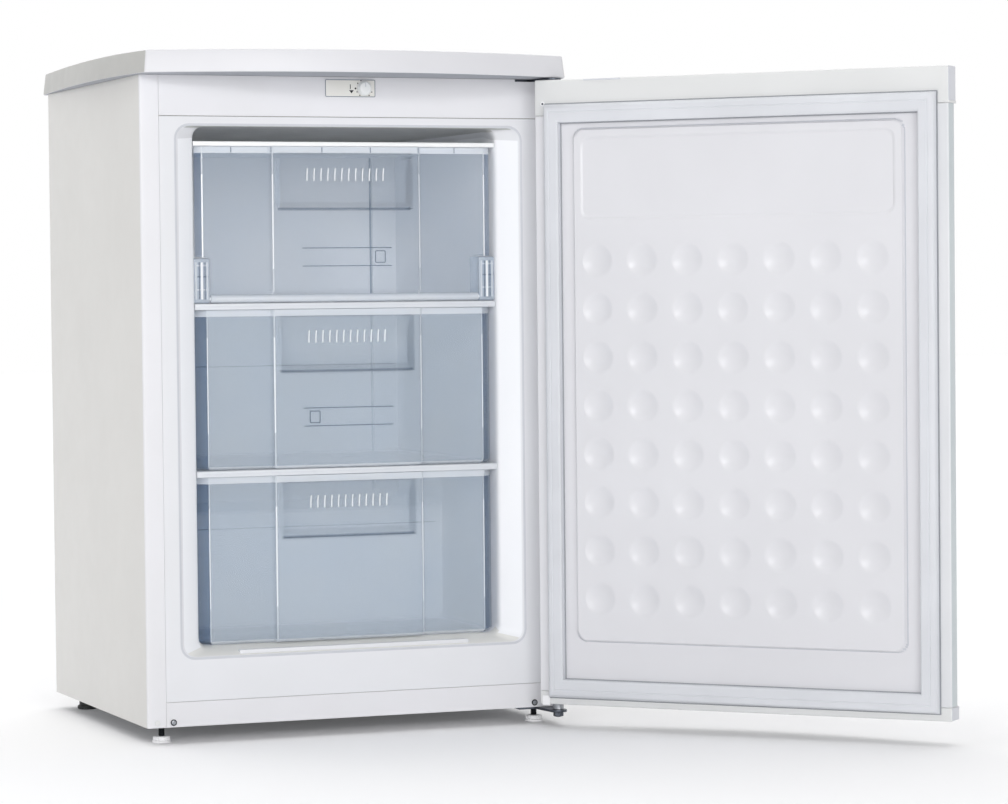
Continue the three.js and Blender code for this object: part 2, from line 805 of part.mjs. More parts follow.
/** Evaporator shelf: a serpentine of tube under long wires, with a rail on each side. */
function evaporatorShelf(top) {
  const tubeZ = top - shelfWireSize - shelfTubeRadius + shelfTubeSink;
  const front = shelfFront + shelfTubeRadius;
  const route = serpentinePoints(shelfTubeHalf, shelfRunPitch, shelfRuns, (x, run) => {
    return new THREE.Vector3(x, front + run, tubeZ);
  });
  const wires = [];
  for (let i = 0; i < shelfWires; i += 1) {
    const x = (i / (shelfWires - 1) - 0.5) * 2 * shelfRailHalf;
    const low = i === 0 || i === shelfWires - 1 ? top - shelfLedgeDrop + seat : top - shelfWireSize;
    wires.push(block(x - shelfWireSize, x + shelfWireSize, shelfFront, shelfBack, low, top));
  }
  const crossWires = [shelfFront, shelfBack - 2 * shelfWireSize].map((y) => {
    return block(-shelfRailHalf, shelfRailHalf, y, y + 2 * shelfWireSize, top - 2 * shelfWireSize, top);
  });
  return join(sweep(route, shelfTubeRadius), ...wires, ...crossWires);
}

/** Shelf trim: the white front moulding of a shelf. */
function shelfTrim(top, height) {
  const back = trimFront + trimDepth;
  return block(-trimHalfWidth, trimHalfWidth, trimFront, back, top - height, top);
}

function makeShelves() {
  const shelves = [
    ['upper', upperShelfTop, upperTrimHeight],
    ['middle', middleShelfTop, trimHeight],
    ['lower', lowerShelfTop, trimHeight],
  ];
  for (const [name, top, height] of shelves) {
    piece(`${name}_evaporator_shelf`, evaporatorShelf(top), zincSteel);
    piece(`${name}_shelf_trim`, shelfTrim(top, height), whitePlastic);
  }
}

// ---------------------------------------------------------------- clear fronts

/** Front line of a clear moulding, left to right, with the centre section stepped forward. */
function frontLine(halfWidth, inset) {
  const plane = frontPlane + inset;
  const step = plane - centreStep;
  const slope = centreStep / 2;
  const centre = centreHalfWidth - inset;
  return [
    at(-halfWidth, plane),
    at(-centre - slope, plane),
    at(-centre, step),
    at(centre, step),
    at(centre + slope, plane),
    at(halfWidth, plane),
  ];
}

/** Finger scoop below a rim: its side outline in Y and Z, grown by a wall. */
function scoopOutline(rimFoot, wall) {
  const front = frontPlane - centreStep - (wall > 0 ? 0 : over);
  const deep = frontPlane - centreStep + scoopDepth + wall;
  return [
    at(front, rimFoot + wall),
    at(front, rimFoot - scoopHeight - wall),
    at(front + scoopHeel, rimFoot - scoopHeight - wall),
    at(deep, rimFoot - scoopHeight + scoopHeel - wall),
    at(deep, rimFoot - scoopShoulder + wall),
    at(front + scoopHeel / 2, rimFoot + wall),
  ];
}

/** Adds the finger scoop to a clear moulding. */
function withScoop(moulding, rimFoot) {
  const backingHalf = scoopHalfWidth + clearWall;
  const backing = bar(scoopOutline(rimFoot, clearWall), -backingHalf, backingHalf);
  const hollow = bar(scoopOutline(rimFoot, 0), -scoopHalfWidth, scoopHalfWidth);
  return cut(join(moulding, backing), hollow);
}

/** Clear tub with an open top. */
function drawerTub(floor, rim, depth) {
  const plan = (inset) => {
    const half = drawerHalfWidth - inset;
    const facet = cornerFacet - inset / 2;
    const back = frontPlane + depth - inset;
    const front = frontLine(half - facet, inset);
    const facetEnd = frontPlane + inset + facet;
    return [...front, at(half, facetEnd), at(half, back), at(-half, back), at(-half, facetEnd)];
  };
  const hollow = plate(plan(clearWall), floor + clearWall, rim + over);
  const tub = cut(plate(plan(0), floor, rim), hollow);
  return withScoop(tub, rim - rimHeight);
}

/** Fold-down flap: a stepped front over a round pivot edge. */
function flapMoulding() {
  const wideFoot = middleShelfTop + seat + bracketHeight + 2 * flapClearance;
  const centreFoot = flapAxisZ + flapCentreRise;
  const line = frontLine(flapHalfWidth, 0);
  const front = plate(bentSheet(line, clearWall), centreFoot, flapTop);
  const ledgeTop = centreFoot + clearWall;
  const ledge = plate(line.slice(1, 5), centreFoot, ledgeTop);
  const narrow = bracketInner - flapClearance;
  const apron = block(-narrow, narrow, frontPlane, frontPlane + clearWall, flapAxisZ, ledgeTop);
  const edge = barrel(flapAxisY, flapAxisZ, flapBarrelRadius, -narrow, narrow);
  const sideNotches = [-1, 1].map((side) => {
    const ends = sideSpan(side, narrow, flapHalfWidth + over);
    return block(...ends, 0, frontPlane + 2 * clearWall, floorClearance, wideFoot);
  });
  const sockets = [-1, 1].map((side) => {
    const ends = sideSpan(side, bracketInner - flapPinLength - seat, narrow + over);
    return barrel(flapAxisY, flapAxisZ, flapPinRadius + seat, ...ends, 12);
  });
  const moulding = withScoop(join(front, ledge, apron, edge), flapTop - rimHeight);
  return cut(moulding, ...sideNotches, ...sockets);
}

/** Clear hinge block beside the flap, with its pivot pin. */
function flapBracket(side) {
  const bottom = middleShelfTop + seat;
  const ends = sideSpan(side, bracketInner, bracketInner + bracketWidth);
  const front = frontPlane - bracketReach;
  const body = block(...ends, front, front + bracketDepth, bottom, bottom + bracketHeight);
  const pinEnds = sideSpan(side, bracketInner - flapPinLength, bracketInner + over);
  return join(body, barrel(flapAxisY, flapAxisZ, flapPinRadius, ...pinEnds, 12));
}

function makeClearFronts() {
  piece('flap', flapMoulding(), clearPlastic);
  piece('left_flap_bracket', flapBracket(-1), clearPlastic);
  piece('right_flap_bracket', flapBracket(1), clearPlastic);
  piece('middle_drawer', drawerTub(middleDrawerFloor, middleDrawerRim, middleDrawerDepth), clearPlastic);
  piece('lower_drawer', drawerTub(lowerDrawerFloor, lowerDrawerRim, lowerDrawerDepth), clearPlastic);
}

// ---------------------------------------------------------------- door

/** Depth of the door's outer face at a place across its width. */
function doorBowAt(x) {
  return doorOuter - doorBow * (1 - (x / doorHalf) ** 2);
}

/** The bowed outer line of the door from one X to another. */
function bowLine(from, to) {
  const steps = 12;
  const points = [];
  for (let i = 0; i <= steps; i += 1) {
    const x = from + ((to - from) * i) / steps;
    points.push(at(x, doorBowAt(x)));
  }
  return points;
}

/** Plan of the whole door, moved inward by a distance. */
function doorPlan(inset) {
  const bow = bowLine(-doorHalf, doorHalf);
  return insetRing([at(doorHalf, doorInner), at(-doorHalf, doorInner), ...bow], inset);
}

function makeDoorPanel() {
  const edge = -doorHalf + handleMouth;
  const skin = bowLine(edge, doorHalf);
  const path = [
    ...skin,
    at(doorHalf, doorInner - doorEdgeChamfer),
    at(doorHalf - doorEdgeChamfer, doorInner),
    at(doorHalf - doorRim, doorInner),
  ];
  const outline = bentSheet(path, sheet);
  piece('door_outer_panel', plate(outline, capHead + seat, capFoot - seat), whitePaint, doorLeaf);
}

function makeHandleStrip() {
  const inner = -doorHalf + handleHollow;
  const path = [
    at(inner, doorBowAt(inner) + sheet + 2 * seat),
    at(inner, doorInner - handleFaceDepth),
    at(-doorHalf, doorInner - handleFaceDepth),
    at(-doorHalf, doorInner),
    at(-doorHalf + doorRim, doorInner),
  ];
  const outline = bentSheet(path, -handleWall);
  piece('door_handle_strip', plate(outline, capHead + seat, capFoot - seat), edgeStrip, doorLeaf);
}

/** Shell that closes one end of the door, with the bore of its hinge pin. */
function doorCap(bottom, top, openLow, rimLow, rimHigh) {
  const hollowLow = openLow ? bottom - over : bottom + capWall;
  const hollowHigh = openLow ? top - capWall : top + over;
  const hollow = plate(doorPlan(capWall), hollowLow, hollowHigh);
  const half = gasketHalf + seat;
  const linerRoom = block(-half, half, doorInner - 3 * capWall, 0, rimLow, rimHigh);
  return cut(plate(doorPlan(0), bottom, top), hollow, linerRoom);
}

function makeDoorCaps() {
  const bossRadius = lowerPinRadius + boreClearance + capWall;
  const boss = (low, high) => common(rod(pinX, pinY, bossRadius, low, high), plate(doorPlan(0), low, high));
  const upper = doorCap(capFoot, doorTop, true, capFoot - over, linerTop + seat);
  const upperBoss = boss(doorTop - pinEngagement, doorTop);
  const upperBore = rod(pinX, pinY, upperPinRadius + boreClearance, capFoot, doorTop + over);
  piece('door_top_cap', cut(join(upper, upperBoss), upperBore), whitePlastic, doorLeaf);
  const lower = doorCap(doorBottom, capHead, false, linerBottom - seat, capHead + over);
  const lowerBoss = boss(doorBottom, capHead);
  const lowerBoreRadius = lowerPinRadius + boreClearance;
  const lowerBore = rod(pinX, pinY, lowerBoreRadius, doorBottom - over, capHead + over);
  piece('door_bottom_cap', cut(join(lower, lowerBoss), lowerBore), whitePlastic, doorLeaf);
}

function makeDoorLiner() {
  const back = doorInner - doorLinerWall;
  const face = doorInner + panelRaise;
  const left = -doorHalf + panelFreeMargin;
  const right = doorHalf - panelHingeMargin;
  const base = block(-gasketHalf, gasketHalf, back, doorInner, linerBottom, linerTop);
  const outline = (inset) => {
    const radius = panelRadius - inset;
    return roundedRectangle(left + inset, right - inset, panelBottom + inset, panelTop - inset, radius);
  };
  const raised = panel(outline(0), back, face);
  const hollow = panel(outline(panelSkin), back - over, face - panelSkin);
  const recessTop = panelTop - recessTopMargin;
  const recessFoot = recessTop - recessHeight;
  const recessEnds = [left + recessMargin, right - recessMargin];
  const recessOutline = roundedRectangle(...recessEnds, recessFoot, recessTop, recessMargin);
  const recess = panel(recessOutline, face - recessDepth, face + over);
  const ballRadius = (dimpleRadius ** 2 + dimpleDepth ** 2) / (2 * dimpleDepth);
  const firstX = right - dimpleSide;
  const firstZ = panelBottom + dimpleFoot;
  const dimples = [];
  for (let x = firstX; x > left + dimpleRadius; x -= dimplePitch) {
    for (let z = firstZ; z < recessFoot - dimpleRadius; z += dimplePitch) {
      dimples.push(dimpleTool(x, face, z, ballRadius));
    }
  }
  piece('door_liner', cut(join(base, raised), hollow, recess, ...dimples), linerPlastic, doorLeaf);
}

/** Cutting tool of one dimple: a shallow round bowl whose rim stands on the panel's face. */
function dimpleTool(x, face, z, ballRadius) {
  const profile = [at(0, face - dimpleDepth)];
  for (const share of [0.5, 1]) {
    const radius = dimpleRadius * share;
    const drop = ballRadius - Math.sqrt(ballRadius ** 2 - radius ** 2);
    profile.push(at(radius, face - dimpleDepth + drop));
  }
  profile.push(at(dimpleRadius + seat, face + over), at(0, face + over));
  return new THREE.LatheGeometry(profile, 10).translate(x, 0, z);
}

function makeGasket() {
  const outer = new THREE.Shape([
    at(-gasketHalf, linerBottom),
    at(gasketHalf, linerBottom),
    at(gasketHalf, linerTop),
    at(-gasketHalf, linerTop),
  ]);
  outer.holes.push(new THREE.Path([
    at(-gasketHalf + gasketWidth, linerBottom + gasketWidth),
    at(-gasketHalf + gasketWidth, linerTop - gasketWidth),
    at(gasketHalf - gasketWidth, linerTop - gasketWidth),
    at(gasketHalf - gasketWidth, linerBottom + gasketWidth),
  ]));
  piece('door_gasket', panel(outer, doorInner + seat, -seat), gasketRubber, doorLeaf);
}

function makeDoorFoam() {
  const capInset = capWall + seat;
  const between = plate(doorPlan(sheet + seat), capHead, capFoot);
  const ends = plate(doorPlan(capInset), doorBottom + capInset, doorTop - capInset);
  const liningY = doorInner - Math.max(doorLinerWall, handleWall) - seat;
  const linerBack = block(-doorHalf, doorHalf, liningY, 0, 0, shellTop);
  const stripClear = handleWall + seat;
  const gripEnds = [-doorHalf - over, -doorHalf + handleHollow + stripClear];
  const gripBack = doorInner - handleFaceDepth + stripClear;
  const grip = block(...gripEnds, doorOuter - doorBow - over, gripBack, 0, shellTop);
  const edgeEnds = [-doorHalf - over, -doorHalf + stripClear];
  const edge = block(...edgeEnds, doorOuter - doorBow - over, 0, 0, shellTop);
  const bores = rod(pinX, pinY, lowerPinRadius + boreClearance + capWall + seat, 0, shellTop);
  piece('door_foam', cut(join(between, ends), linerBack, grip, edge, bores), foam, doorLeaf);
}

// ---------------------------------------------------------------- hinges

/** Plan of a hinge plate: square at the rear, round about the pin. */
function hingePlan(rear) {
  const right = pinX + hingeNose;
  const shape = new THREE.Shape();
  shape.moveTo(right, rear);
  shape.lineTo(right - hingePlateWidth, rear);
  shape.lineTo(right - hingePlateWidth, 0);
  shape.absarc(pinX, pinY, hingeNose, Math.PI, Math.PI * 2);
  return shape;
}

/** Upright screw with a low round head on one side of its seat, +1 above it and -1 below. */
function uprightScrew(x, y, seatZ, headSide) {
  const [headLow, headHigh] = headSide > 0 ? [0, screwHeadHeight] : [-screwHeadHeight, 0];
  const [shankLow, shankHigh] = headSide > 0 ? [-screwLength, seat] : [-seat, screwLength];
  const head = rod(x, y, screwHeadRadius, seatZ + headLow, seatZ + headHigh, 12);
  return join(head, rod(x, y, screwRadius, seatZ + shankLow, seatZ + shankHigh, 10));
}

function makeUpperHinge() {
  const top = upperPlateBottom + upperPlateThickness;
  const counter = top - screwHeadHeight - 2 * seat;
  const screwY = upperPlateRear / 2;
  const low = upperPlateBottom - over;
  const tools = hingeScrewPlaces().flatMap((x) => [
    rod(x, screwY, screwRadius + seat, low, top + over, 10),
    rod(x, screwY, screwHeadRadius + seat, counter, top + over, 12),
  ]);
  const headRadius = upperPinRadius + pinHeadBorder;
  tools.push(rod(pinX, pinY, upperPinRadius + seat, low, top + over));
  tools.push(rod(pinX, pinY, headRadius + seat, top - pinHeadHeight - seat, top + over));
  const body = plate(hingePlan(upperPlateRear), upperPlateBottom, top);
  piece('upper_hinge_plate', cut(body, ...tools), darkSteel);
  const head = rod(pinX, pinY, headRadius, top - pinHeadHeight, top - seat / 2);
  const pin = rod(pinX, pinY, upperPinRadius, doorTop - pinEngagement + seat, top - pinHeadHeight / 2);
  piece('upper_hinge_pin', join(head, pin), zincSteel);
  hingeScrewPlaces().forEach((x, i) => {
    piece(`upper_hinge_screw_${i + 1}`, uprightScrew(x, screwY, counter + seat, 1), zincSteel);
  });
}

function makeLowerHinge() {
  const bottom = lowerPlateTop - lowerPlateThickness;
  const low = bottom - over;
  const high = lowerPlateTop + over;
  const tools = hingeScrewPlaces().map((x) => {
    return rod(x, lowerHingeScrewY, screwRadius + seat, low, high, 10);
  });
  tools.push(rod(pinX, pinY, lowerPinRadius + seat, low, high));
  tools.push(studHole(1, low, high));
  const rear = lowerHingeScrewY + hingeNose;
  piece('lower_hinge_bracket', cut(plate(hingePlan(rear), bottom, lowerPlateTop), ...tools), darkSteel);
  const collar = rod(pinX, pinY, collarRadius, lowerPlateTop + seat, doorBottom - seat);
  const pin = rod(pinX, pinY, lowerPinRadius, bottom - nutHeight - over, capHead - over);
  piece('lower_hinge_pin', join(collar, pin), zincSteel);
  const nut = rod(pinX, pinY, nutRadius, bottom - nutHeight - seat, bottom - seat, 6);
  const thread = rod(pinX, pinY, lowerPinRadius + seat, bottom - 2 * nutHeight, bottom + over);
  piece('lower_hinge_nut', cut(nut, thread), zincSteel);
  hingeScrewPlaces().forEach((x, i) => {
    piece(`lower_hinge_screw_${i + 1}`, uprightScrew(x, lowerHingeScrewY, bottom - seat, -1), zincSteel);
  });
}

// ---------------------------------------------------------------- small front pieces

function makeThermostat() {
  const plateBack = -seat;
  const plateFront = plateBack - controlPlateThickness;
  const halfWidth = controlPlateWidth / 2;
  const halfHeight = controlPlateHeight / 2;
  const heights = [controlZ - halfHeight, controlZ + halfHeight];
  const outline = roundedRectangle(-halfWidth, halfWidth, ...heights, controlPlateRadius);
  const holeRadius = knobRadius + 2 * seat;
  const knobHole = pinThrough(knobOffset, controlZ, holeRadius, plateFront - over, plateBack + over, 20);
  piece('control_plate', cut(panel(outline, plateFront, plateBack), knobHole), creamPlastic);
  const dial = pinThrough(knobOffset, controlZ, knobRadius, -seat - knobDepth, -seat, 20);
  const shaftEnd = sheet + seat + knobShaftLength;
  const shaft = pinThrough(knobOffset, controlZ, knobShaftRadius, -over, shaftEnd, 10);
  piece('thermostat_knob', join(dial, shaft), creamPlastic);
  const body = block(
    knobOffset - thermostatWidth / 2,
    knobOffset + thermostatWidth / 2,
    sheet + seat,
    thermostatDepth,
    controlZ - thermostatHeight / 2,
    railShelfZ - sheet - seat,
  );
  const socket = pinThrough(knobOffset, controlZ, knobShaftRadius + seat, 0, shaftEnd + seat, 10);
  piece('thermostat_body', cut(body, socket), blackPlastic);
}

function makeRailFasteners() {
  const z = floorClearance + railScrewRise;
  for (const [name, side] of [['left', -1], ['right', 1]]) {
    const x = side * (faceHalf - railScrewInset);
    const head = pinThrough(x, z, screwHeadRadius, -seat - screwHeadHeight, -seat, 12);
    const shank = pinThrough(x, z, screwRadius, -over, screwLength, 10);
    piece(`${name}_rail_screw`, join(head, shank), zincSteel);
  }
  const plugX = -faceHalf + railScrewInset - plugOffset;
  piece('hole_plug', pinThrough(plugX, z, plugRadius, -seat - plugHeight, -seat, 12), whitePlastic);
}

function makeFeet() {
  for (const [name, side] of [['left', -1], ['right', 1]]) {
    const x = side * (cabinetHalf - footInset);
    piece(`${name}_foot_pad`, rod(x, footSetback, footPadRadius, 0, footPadHeight, 18), whitePlastic);
    const stud = rod(x, footSetback, studRadius, footPadHeight + seat, floorClearance + studRise, 12);
    piece(`${name}_foot_stud`, stud, darkSteel);
    const rearX = side * (cabinetHalf - rearFootInset);
    const rearY = cabinetDepth - rearFootInset;
    const rearFoot = rod(rearX, rearY, rearFootRadius, 0, floorClearance - seat, 16);
    piece(`${name}_rear_foot`, rearFoot, blackPlastic);
  }
}

// ---------------------------------------------------------------- cooling system

/** Places of the compressor's four legs. */
function compressorLegPlaces() {
  return [[-1, -1], [1, -1], [-1, 1], [1, 1]].map(([a, b]) => [
    compressorX + (a * compressorLegSpan) / 2,
    compressorY + (b * compressorLegDepth) / 2,
  ]);
}

function makeCompressor() {
  const bottom = floorClearance + basePanThickness + 2 * seat + mountHeight;
  const bodyFoot = bottom + compressorLegThickness;
  const half = compressorHeight / 2;
  const overlap = compressorLegThickness / 2;
  const profile = [at(0, -half)];
  for (const [share, height] of [[0.8, -1], [1, -0.72], [1, 0.5], [0.86, 0.82], [0.5, 0.97]]) {
    profile.push(at(compressorRadius * share, half * height));
  }
  profile.push(at(0, half));
  const body = new THREE.LatheGeometry(profile, 20).rotateX(Math.PI / 2).scale(compressorStretch, 1, 1);
  body.translate(compressorX, compressorY, bodyFoot + half - overlap);
  const span = compressorLegSpan / 2 + mountRadius;
  const depth = compressorLegDepth / 2 + mountRadius;
  const left = compressorX - span;
  const front = compressorY - depth;
  const legPlan = roundedRectangle(left, left + 2 * span, front, front + 2 * depth, mountRadius);
  piece('compressor', join(body, plate(legPlan, bottom, bodyFoot)), blackEnamel);
  compressorLegPlaces().forEach(([x, y], i) => {
    const mount = rod(x, y, mountRadius, bottom - seat - mountHeight, bottom - seat, 14);
    piece(`compressor_mount_${i + 1}`, mount, blackRubber);
  });
  const boxRight = compressorX - compressorRadius * compressorStretch - seat;
  const boxFront = compressorY - terminalBoxWidth / 2;
  const boxFoot = bodyFoot + half - terminalBoxHeight / 2;
  const box = block(
    boxRight - terminalBoxDepth,
    boxRight,
    boxFront,
    boxFront + terminalBoxWidth,
    boxFoot,
    boxFoot + terminalBoxHeight,
  );
  piece('terminal_box', box, blackPlastic);
}

/** Condenser: a serpentine of tube behind the cabinet, held by two straps on four feet. */
function makeCondenser() {
  const room = shellTop - condenserHeadGap - condenserFoot;
  const runs = Math.floor(room / condenserRunPitch) + 1;
  const route = serpentinePoints(condenserHalfWidth, condenserRunPitch, runs, (x, run) => {
    return new THREE.Vector3(x, condenserY, condenserFoot + run);
  });
  const low = condenserFoot - condenserStrapEnd;
  const high = condenserFoot + (runs - 1) * condenserRunPitch + condenserStrapEnd;
  const half = condenserStrapWidth / 2;
  const strapBack = condenserY + condenserStrapThickness;
  const fixings = [-1, 1].flatMap((side) => {
    const x = side * (condenserHalfWidth - condenserRunPitch);
    const strap = block(x - half, x + half, condenserY, strapBack, low, high);
    const feet = [low, high - condenserFootHeight].map((foot) => {
      return block(x - half, x + half, cabinetDepth + seat, strapBack, foot, foot + condenserFootHeight);
    });
    return [strap, ...feet];
  });
  piece('condenser', join(sweep(route, condenserTubeRadius), ...fixings), blackEnamel);
}

/** Height of the compressor's ports. */
const portZ = floorClearance + basePanThickness + mountHeight + compressorPortHeight;

/** Pipe from the compressor's side, round to the rear and up to the condenser's first run. */
function makeDischargePipe() {
  const start = compressorX + compressorRadius * compressorStretch + seat;
  const side = start + dischargeReach;
  const end = condenserFoot - condenserTubeRadius - seat;
  const route = [
    new THREE.Vector3(start, compressorY, portZ),
    new THREE.Vector3(side - pipeBend, compressorY, portZ),
    new THREE.Vector3(side, compressorY + pipeBend, portZ),
    new THREE.Vector3(side, condenserY - pipeBend, portZ),
    new THREE.Vector3(side, condenserY, portZ + pipeBend),
    new THREE.Vector3(side, condenserY, end),
  ];
  piece('discharge_pipe', sweep(route, pipeRadius), copper);
}

/** Pipe from the compressor up to the roof of its bay. */
function makeSuctionPipe() {
  const start = compressorX - compressorRadius;
  const y = compressorY + suctionSetback;
  const route = [
    new THREE.Vector3(start, y, portZ),
    new THREE.Vector3(start - suctionReach + pipeBend, y, portZ),
    new THREE.Vector3(start - suctionReach, y, portZ + pipeBend),
    new THREE.Vector3(start - suctionReach, y, bayRoof - seat),
  ];
  piece('suction_pipe', sweep(route, pipeRadius), copper);
}

/** Filter drier: a fat copper sleeve on an upright pipe. */
function makeDrier() {
  const foot = floorClearance + basePanThickness + seat;
  const height = bayRoof - seat - foot;
  const profile = [
    at(0, 0),
    at(pipeRadius, 0),
    at(pipeRadius, drierNeck),
    at(drierRadius, 2 * drierNeck),
    at(drierRadius, 2 * drierNeck + drierLength),
    at(pipeRadius, 3 * drierNeck + drierLength),
    at(pipeRadius, height),
    at(0, height),
  ];
  const drier = new THREE.LatheGeometry(profile, 12).rotateX(Math.PI / 2);
  drier.translate(-cabinetHalf + drierSideGap, cabinetDepth - drierRearGap, foot);
  piece('filter_drier', drier, copper);
}

/** Rubber bush of the mains lead, held in the base pan's tab. */
function makeGland() {
  const back = cabinetDepth - sheet - seat;
  const front = back - basePanThickness - glandEnd;
  const sleeve = pinThrough(glandOffset, glandZ, glandHoleRadius, front, back + glandEnd, 14);
  const collar = pinThrough(glandOffset, glandZ, glandRadius, back + seat, back + glandEnd / 2, 14);
  piece('cord_gland', join(sleeve, collar), blackRubber);
}

// ---------------------------------------------------------------- assembly

makeWorktop();
makeSidePanels();
makeTopRail();
makeBottomRail();
makeLiner();
makeFoam();
makeBackPanel();
makeBasePan();
makeShelves();
makeClearFronts();
makeDoorPanel();
makeHandleStrip();
makeDoorCaps();
makeDoorLiner();
makeGasket();
makeDoorFoam();
makeUpperHinge();
makeLowerHinge();
makeThermostat();
makeRailFasteners();
makeFeet();
makeCompressor();
makeCondenser();
makeDischargePipe();
makeSuctionPipe();
makeDrier();
makeGland();

// The origin is the middle of the whole object's footprint, with the door open.
const footprint = new THREE.Box3().setFromObject(freezer, true);
const middle = footprint.getCenter(new THREE.Vector3());
freezer.position.set(-middle.x, -middle.y, 0);
freezer.updateMatrixWorld(true);

export default freezer;
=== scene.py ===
"""Looks of an under-counter freezer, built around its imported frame.

The cabinet stands on four feet under a bowed worktop, and its door hangs open on the right.
Each sub-assembly is a class that models its own pieces in millimetres and dresses them.
"""

import json
import logging
import math
from collections.abc import Callable, Iterator, Sequence
from contextlib import contextmanager
from dataclasses import dataclass, field
from enum import Enum

import bpy
from mathutils import Matrix, Vector


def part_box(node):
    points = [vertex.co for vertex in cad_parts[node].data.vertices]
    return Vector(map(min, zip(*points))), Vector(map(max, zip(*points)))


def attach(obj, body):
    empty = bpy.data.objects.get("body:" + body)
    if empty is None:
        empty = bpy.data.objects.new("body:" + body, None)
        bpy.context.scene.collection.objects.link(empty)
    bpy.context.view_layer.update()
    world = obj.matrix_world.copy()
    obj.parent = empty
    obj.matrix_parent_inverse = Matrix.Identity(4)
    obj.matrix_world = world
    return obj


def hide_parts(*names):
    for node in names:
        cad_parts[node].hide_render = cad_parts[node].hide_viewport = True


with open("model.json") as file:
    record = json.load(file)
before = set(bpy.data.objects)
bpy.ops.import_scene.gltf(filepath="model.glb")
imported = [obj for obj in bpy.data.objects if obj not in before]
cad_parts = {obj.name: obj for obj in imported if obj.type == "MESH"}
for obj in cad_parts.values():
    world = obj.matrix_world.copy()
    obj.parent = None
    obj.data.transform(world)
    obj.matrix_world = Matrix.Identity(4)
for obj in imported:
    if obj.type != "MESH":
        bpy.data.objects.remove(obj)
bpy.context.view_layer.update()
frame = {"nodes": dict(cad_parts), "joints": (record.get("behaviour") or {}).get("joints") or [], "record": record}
LOG = logging.getLogger("freezer")

Flat = tuple[float, float]
Spot = tuple[float, float, float]
Piece = bpy.types.Object
Socket = bpy.types.NodeSocket

MILLIMETRE = 0.001
SEAT = 0.3
SHEET = 0.8
BODY_OF_NODE = {
    node: body
    for body, nodes in frame["record"]["behaviour"]["bodies"].items()
    for node in nodes
}


# ---------------------------------------------------------------- places and extents


class Axis(Enum):
    """Direction in which a flat outline is drawn out into a slab."""

    ACROSS = "across"
    DEEP = "deep"
    UP = "up"

    def turn(self) -> Matrix:
        """Gives the matrix that lays an upright slab along this direction.

        Returns:
            The matrix.
        """
        rows = {
            Axis.ACROSS: ((0, 0, 1, 0), (1, 0, 0, 0), (0, 1, 0, 0), (0, 0, 0, 1)),
            Axis.DEEP: ((1, 0, 0, 0), (0, 0, 1, 0), (0, 1, 0, 0), (0, 0, 0, 1)),
            Axis.UP: ((1, 0, 0, 0), (0, 1, 0, 0), (0, 0, 1, 0), (0, 0, 0, 1)),
        }
        return Matrix(rows[self])


def cabinet_space() -> Matrix:
    """Works out how cabinet millimetres lie in the frame.

    Returns:
        The matrix from millimetres, centred on the cabinet's front face, to the frame.
    """
    left_low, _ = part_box("left_side_panel")
    _, right_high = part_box("right_side_panel")
    middle = (left_low.x + right_high.x) / 2
    return Matrix.Translation((middle, left_low.y, 0)) @ Matrix.Scale(MILLIMETRE, 4)


def door_space(cabinet: Matrix) -> Matrix:
    """Works out how the shut door's millimetres lie in the frame, with the door open.

    Args:
        cabinet: Matrix of the cabinet's own millimetres.

    Returns:
        The matrix that also turns the door about its hinge pins.
    """
    hinge = next(joint for joint in frame["joints"] if joint["name"] == "door_hinge")
    pin = Matrix.Translation((hinge["pos_m"][0], hinge["pos_m"][1], 0))
    open_angle = -math.radians(hinge["range_deg"][0])
    return pin @ Matrix.Rotation(open_angle, 4, "Z") @ pin.inverted() @ cabinet


CABINET = cabinet_space()
DOOR = door_space(CABINET)


@dataclass(frozen=True)
class Extent:
    """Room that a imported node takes, in millimetres of its own space."""

    left: float
    right: float
    front: float
    rear: float
    low: float
    high: float

    @property
    def centre_x(self) -> float:
        """Middle of the width."""
        return (self.left + self.right) / 2

    @property
    def centre_y(self) -> float:
        """Middle of the depth."""
        return (self.front + self.rear) / 2

    @property
    def centre_z(self) -> float:
        """Middle of the height."""
        return (self.low + self.high) / 2

    @property
    def half_width(self) -> float:
        """Half of the width."""
        return (self.right - self.left) / 2

    @property
    def half_height(self) -> float:
        """Half of the height."""
        return (self.high - self.low) / 2


def measure(node: str, space: Matrix | None = None) -> Extent:
    """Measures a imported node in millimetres.

    Args:
        node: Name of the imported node.
        space: Matrix of the millimetres to measure in; the cabinet's by default.

    Returns:
        The node's extent.
    """
    back = (space or CABINET).inverted()
    spots = [back @ vertex.co for vertex in frame["nodes"][node].data.vertices]
    sides = [[spot[axis] for spot in spots] for axis in range(3)]
    (left, right), (front, rear), (low, high) = [(min(side), max(side)) for side in sides]
    return Extent(left, right, front, rear, low, high)


def measured(node: str, space: Matrix | None = None) -> Extent:
    """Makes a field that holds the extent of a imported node."""
    return field(default_factory=lambda: measure(node, space))


# ---------------------------------------------------------------- flat outlines


def arc(centre: Flat, radius: float, start: float, end: float, steps: int) -> list[Flat]:
    """Lists the points of an arc.

    Args:
        centre: Centre of the arc.
        radius: Radius of the arc.
        start: First angle, in degrees.
        end: Last angle, in degrees.
        steps: Number of stretches.

    Returns:
        The points, ends included.
    """
    points = []
    for step in range(steps + 1):
        angle = math.radians(start + (end - start) * step / steps)
        points.append((centre[0] + radius * math.cos(angle), centre[1] + radius * math.sin(angle)))
    return points


def curve(start: Flat, control: Flat, end: Flat, steps: int) -> list[Flat]:
    """Lists the points of a quadratic curve.

    Args:
        start: First point.
        control: Point that the curve bends towards.
        end: Last point.
        steps: Number of stretches.

    Returns:
        The points, ends included.
    """
    points = []
    for step in range(steps + 1):
        t = step / steps
        weights = ((1 - t) ** 2, 2 * t * (1 - t), t * t)
        corners = (start, control, end)
        points.append(tuple(sum(w * c[i] for w, c in zip(weights, corners)) for i in (0, 1)))
    return points


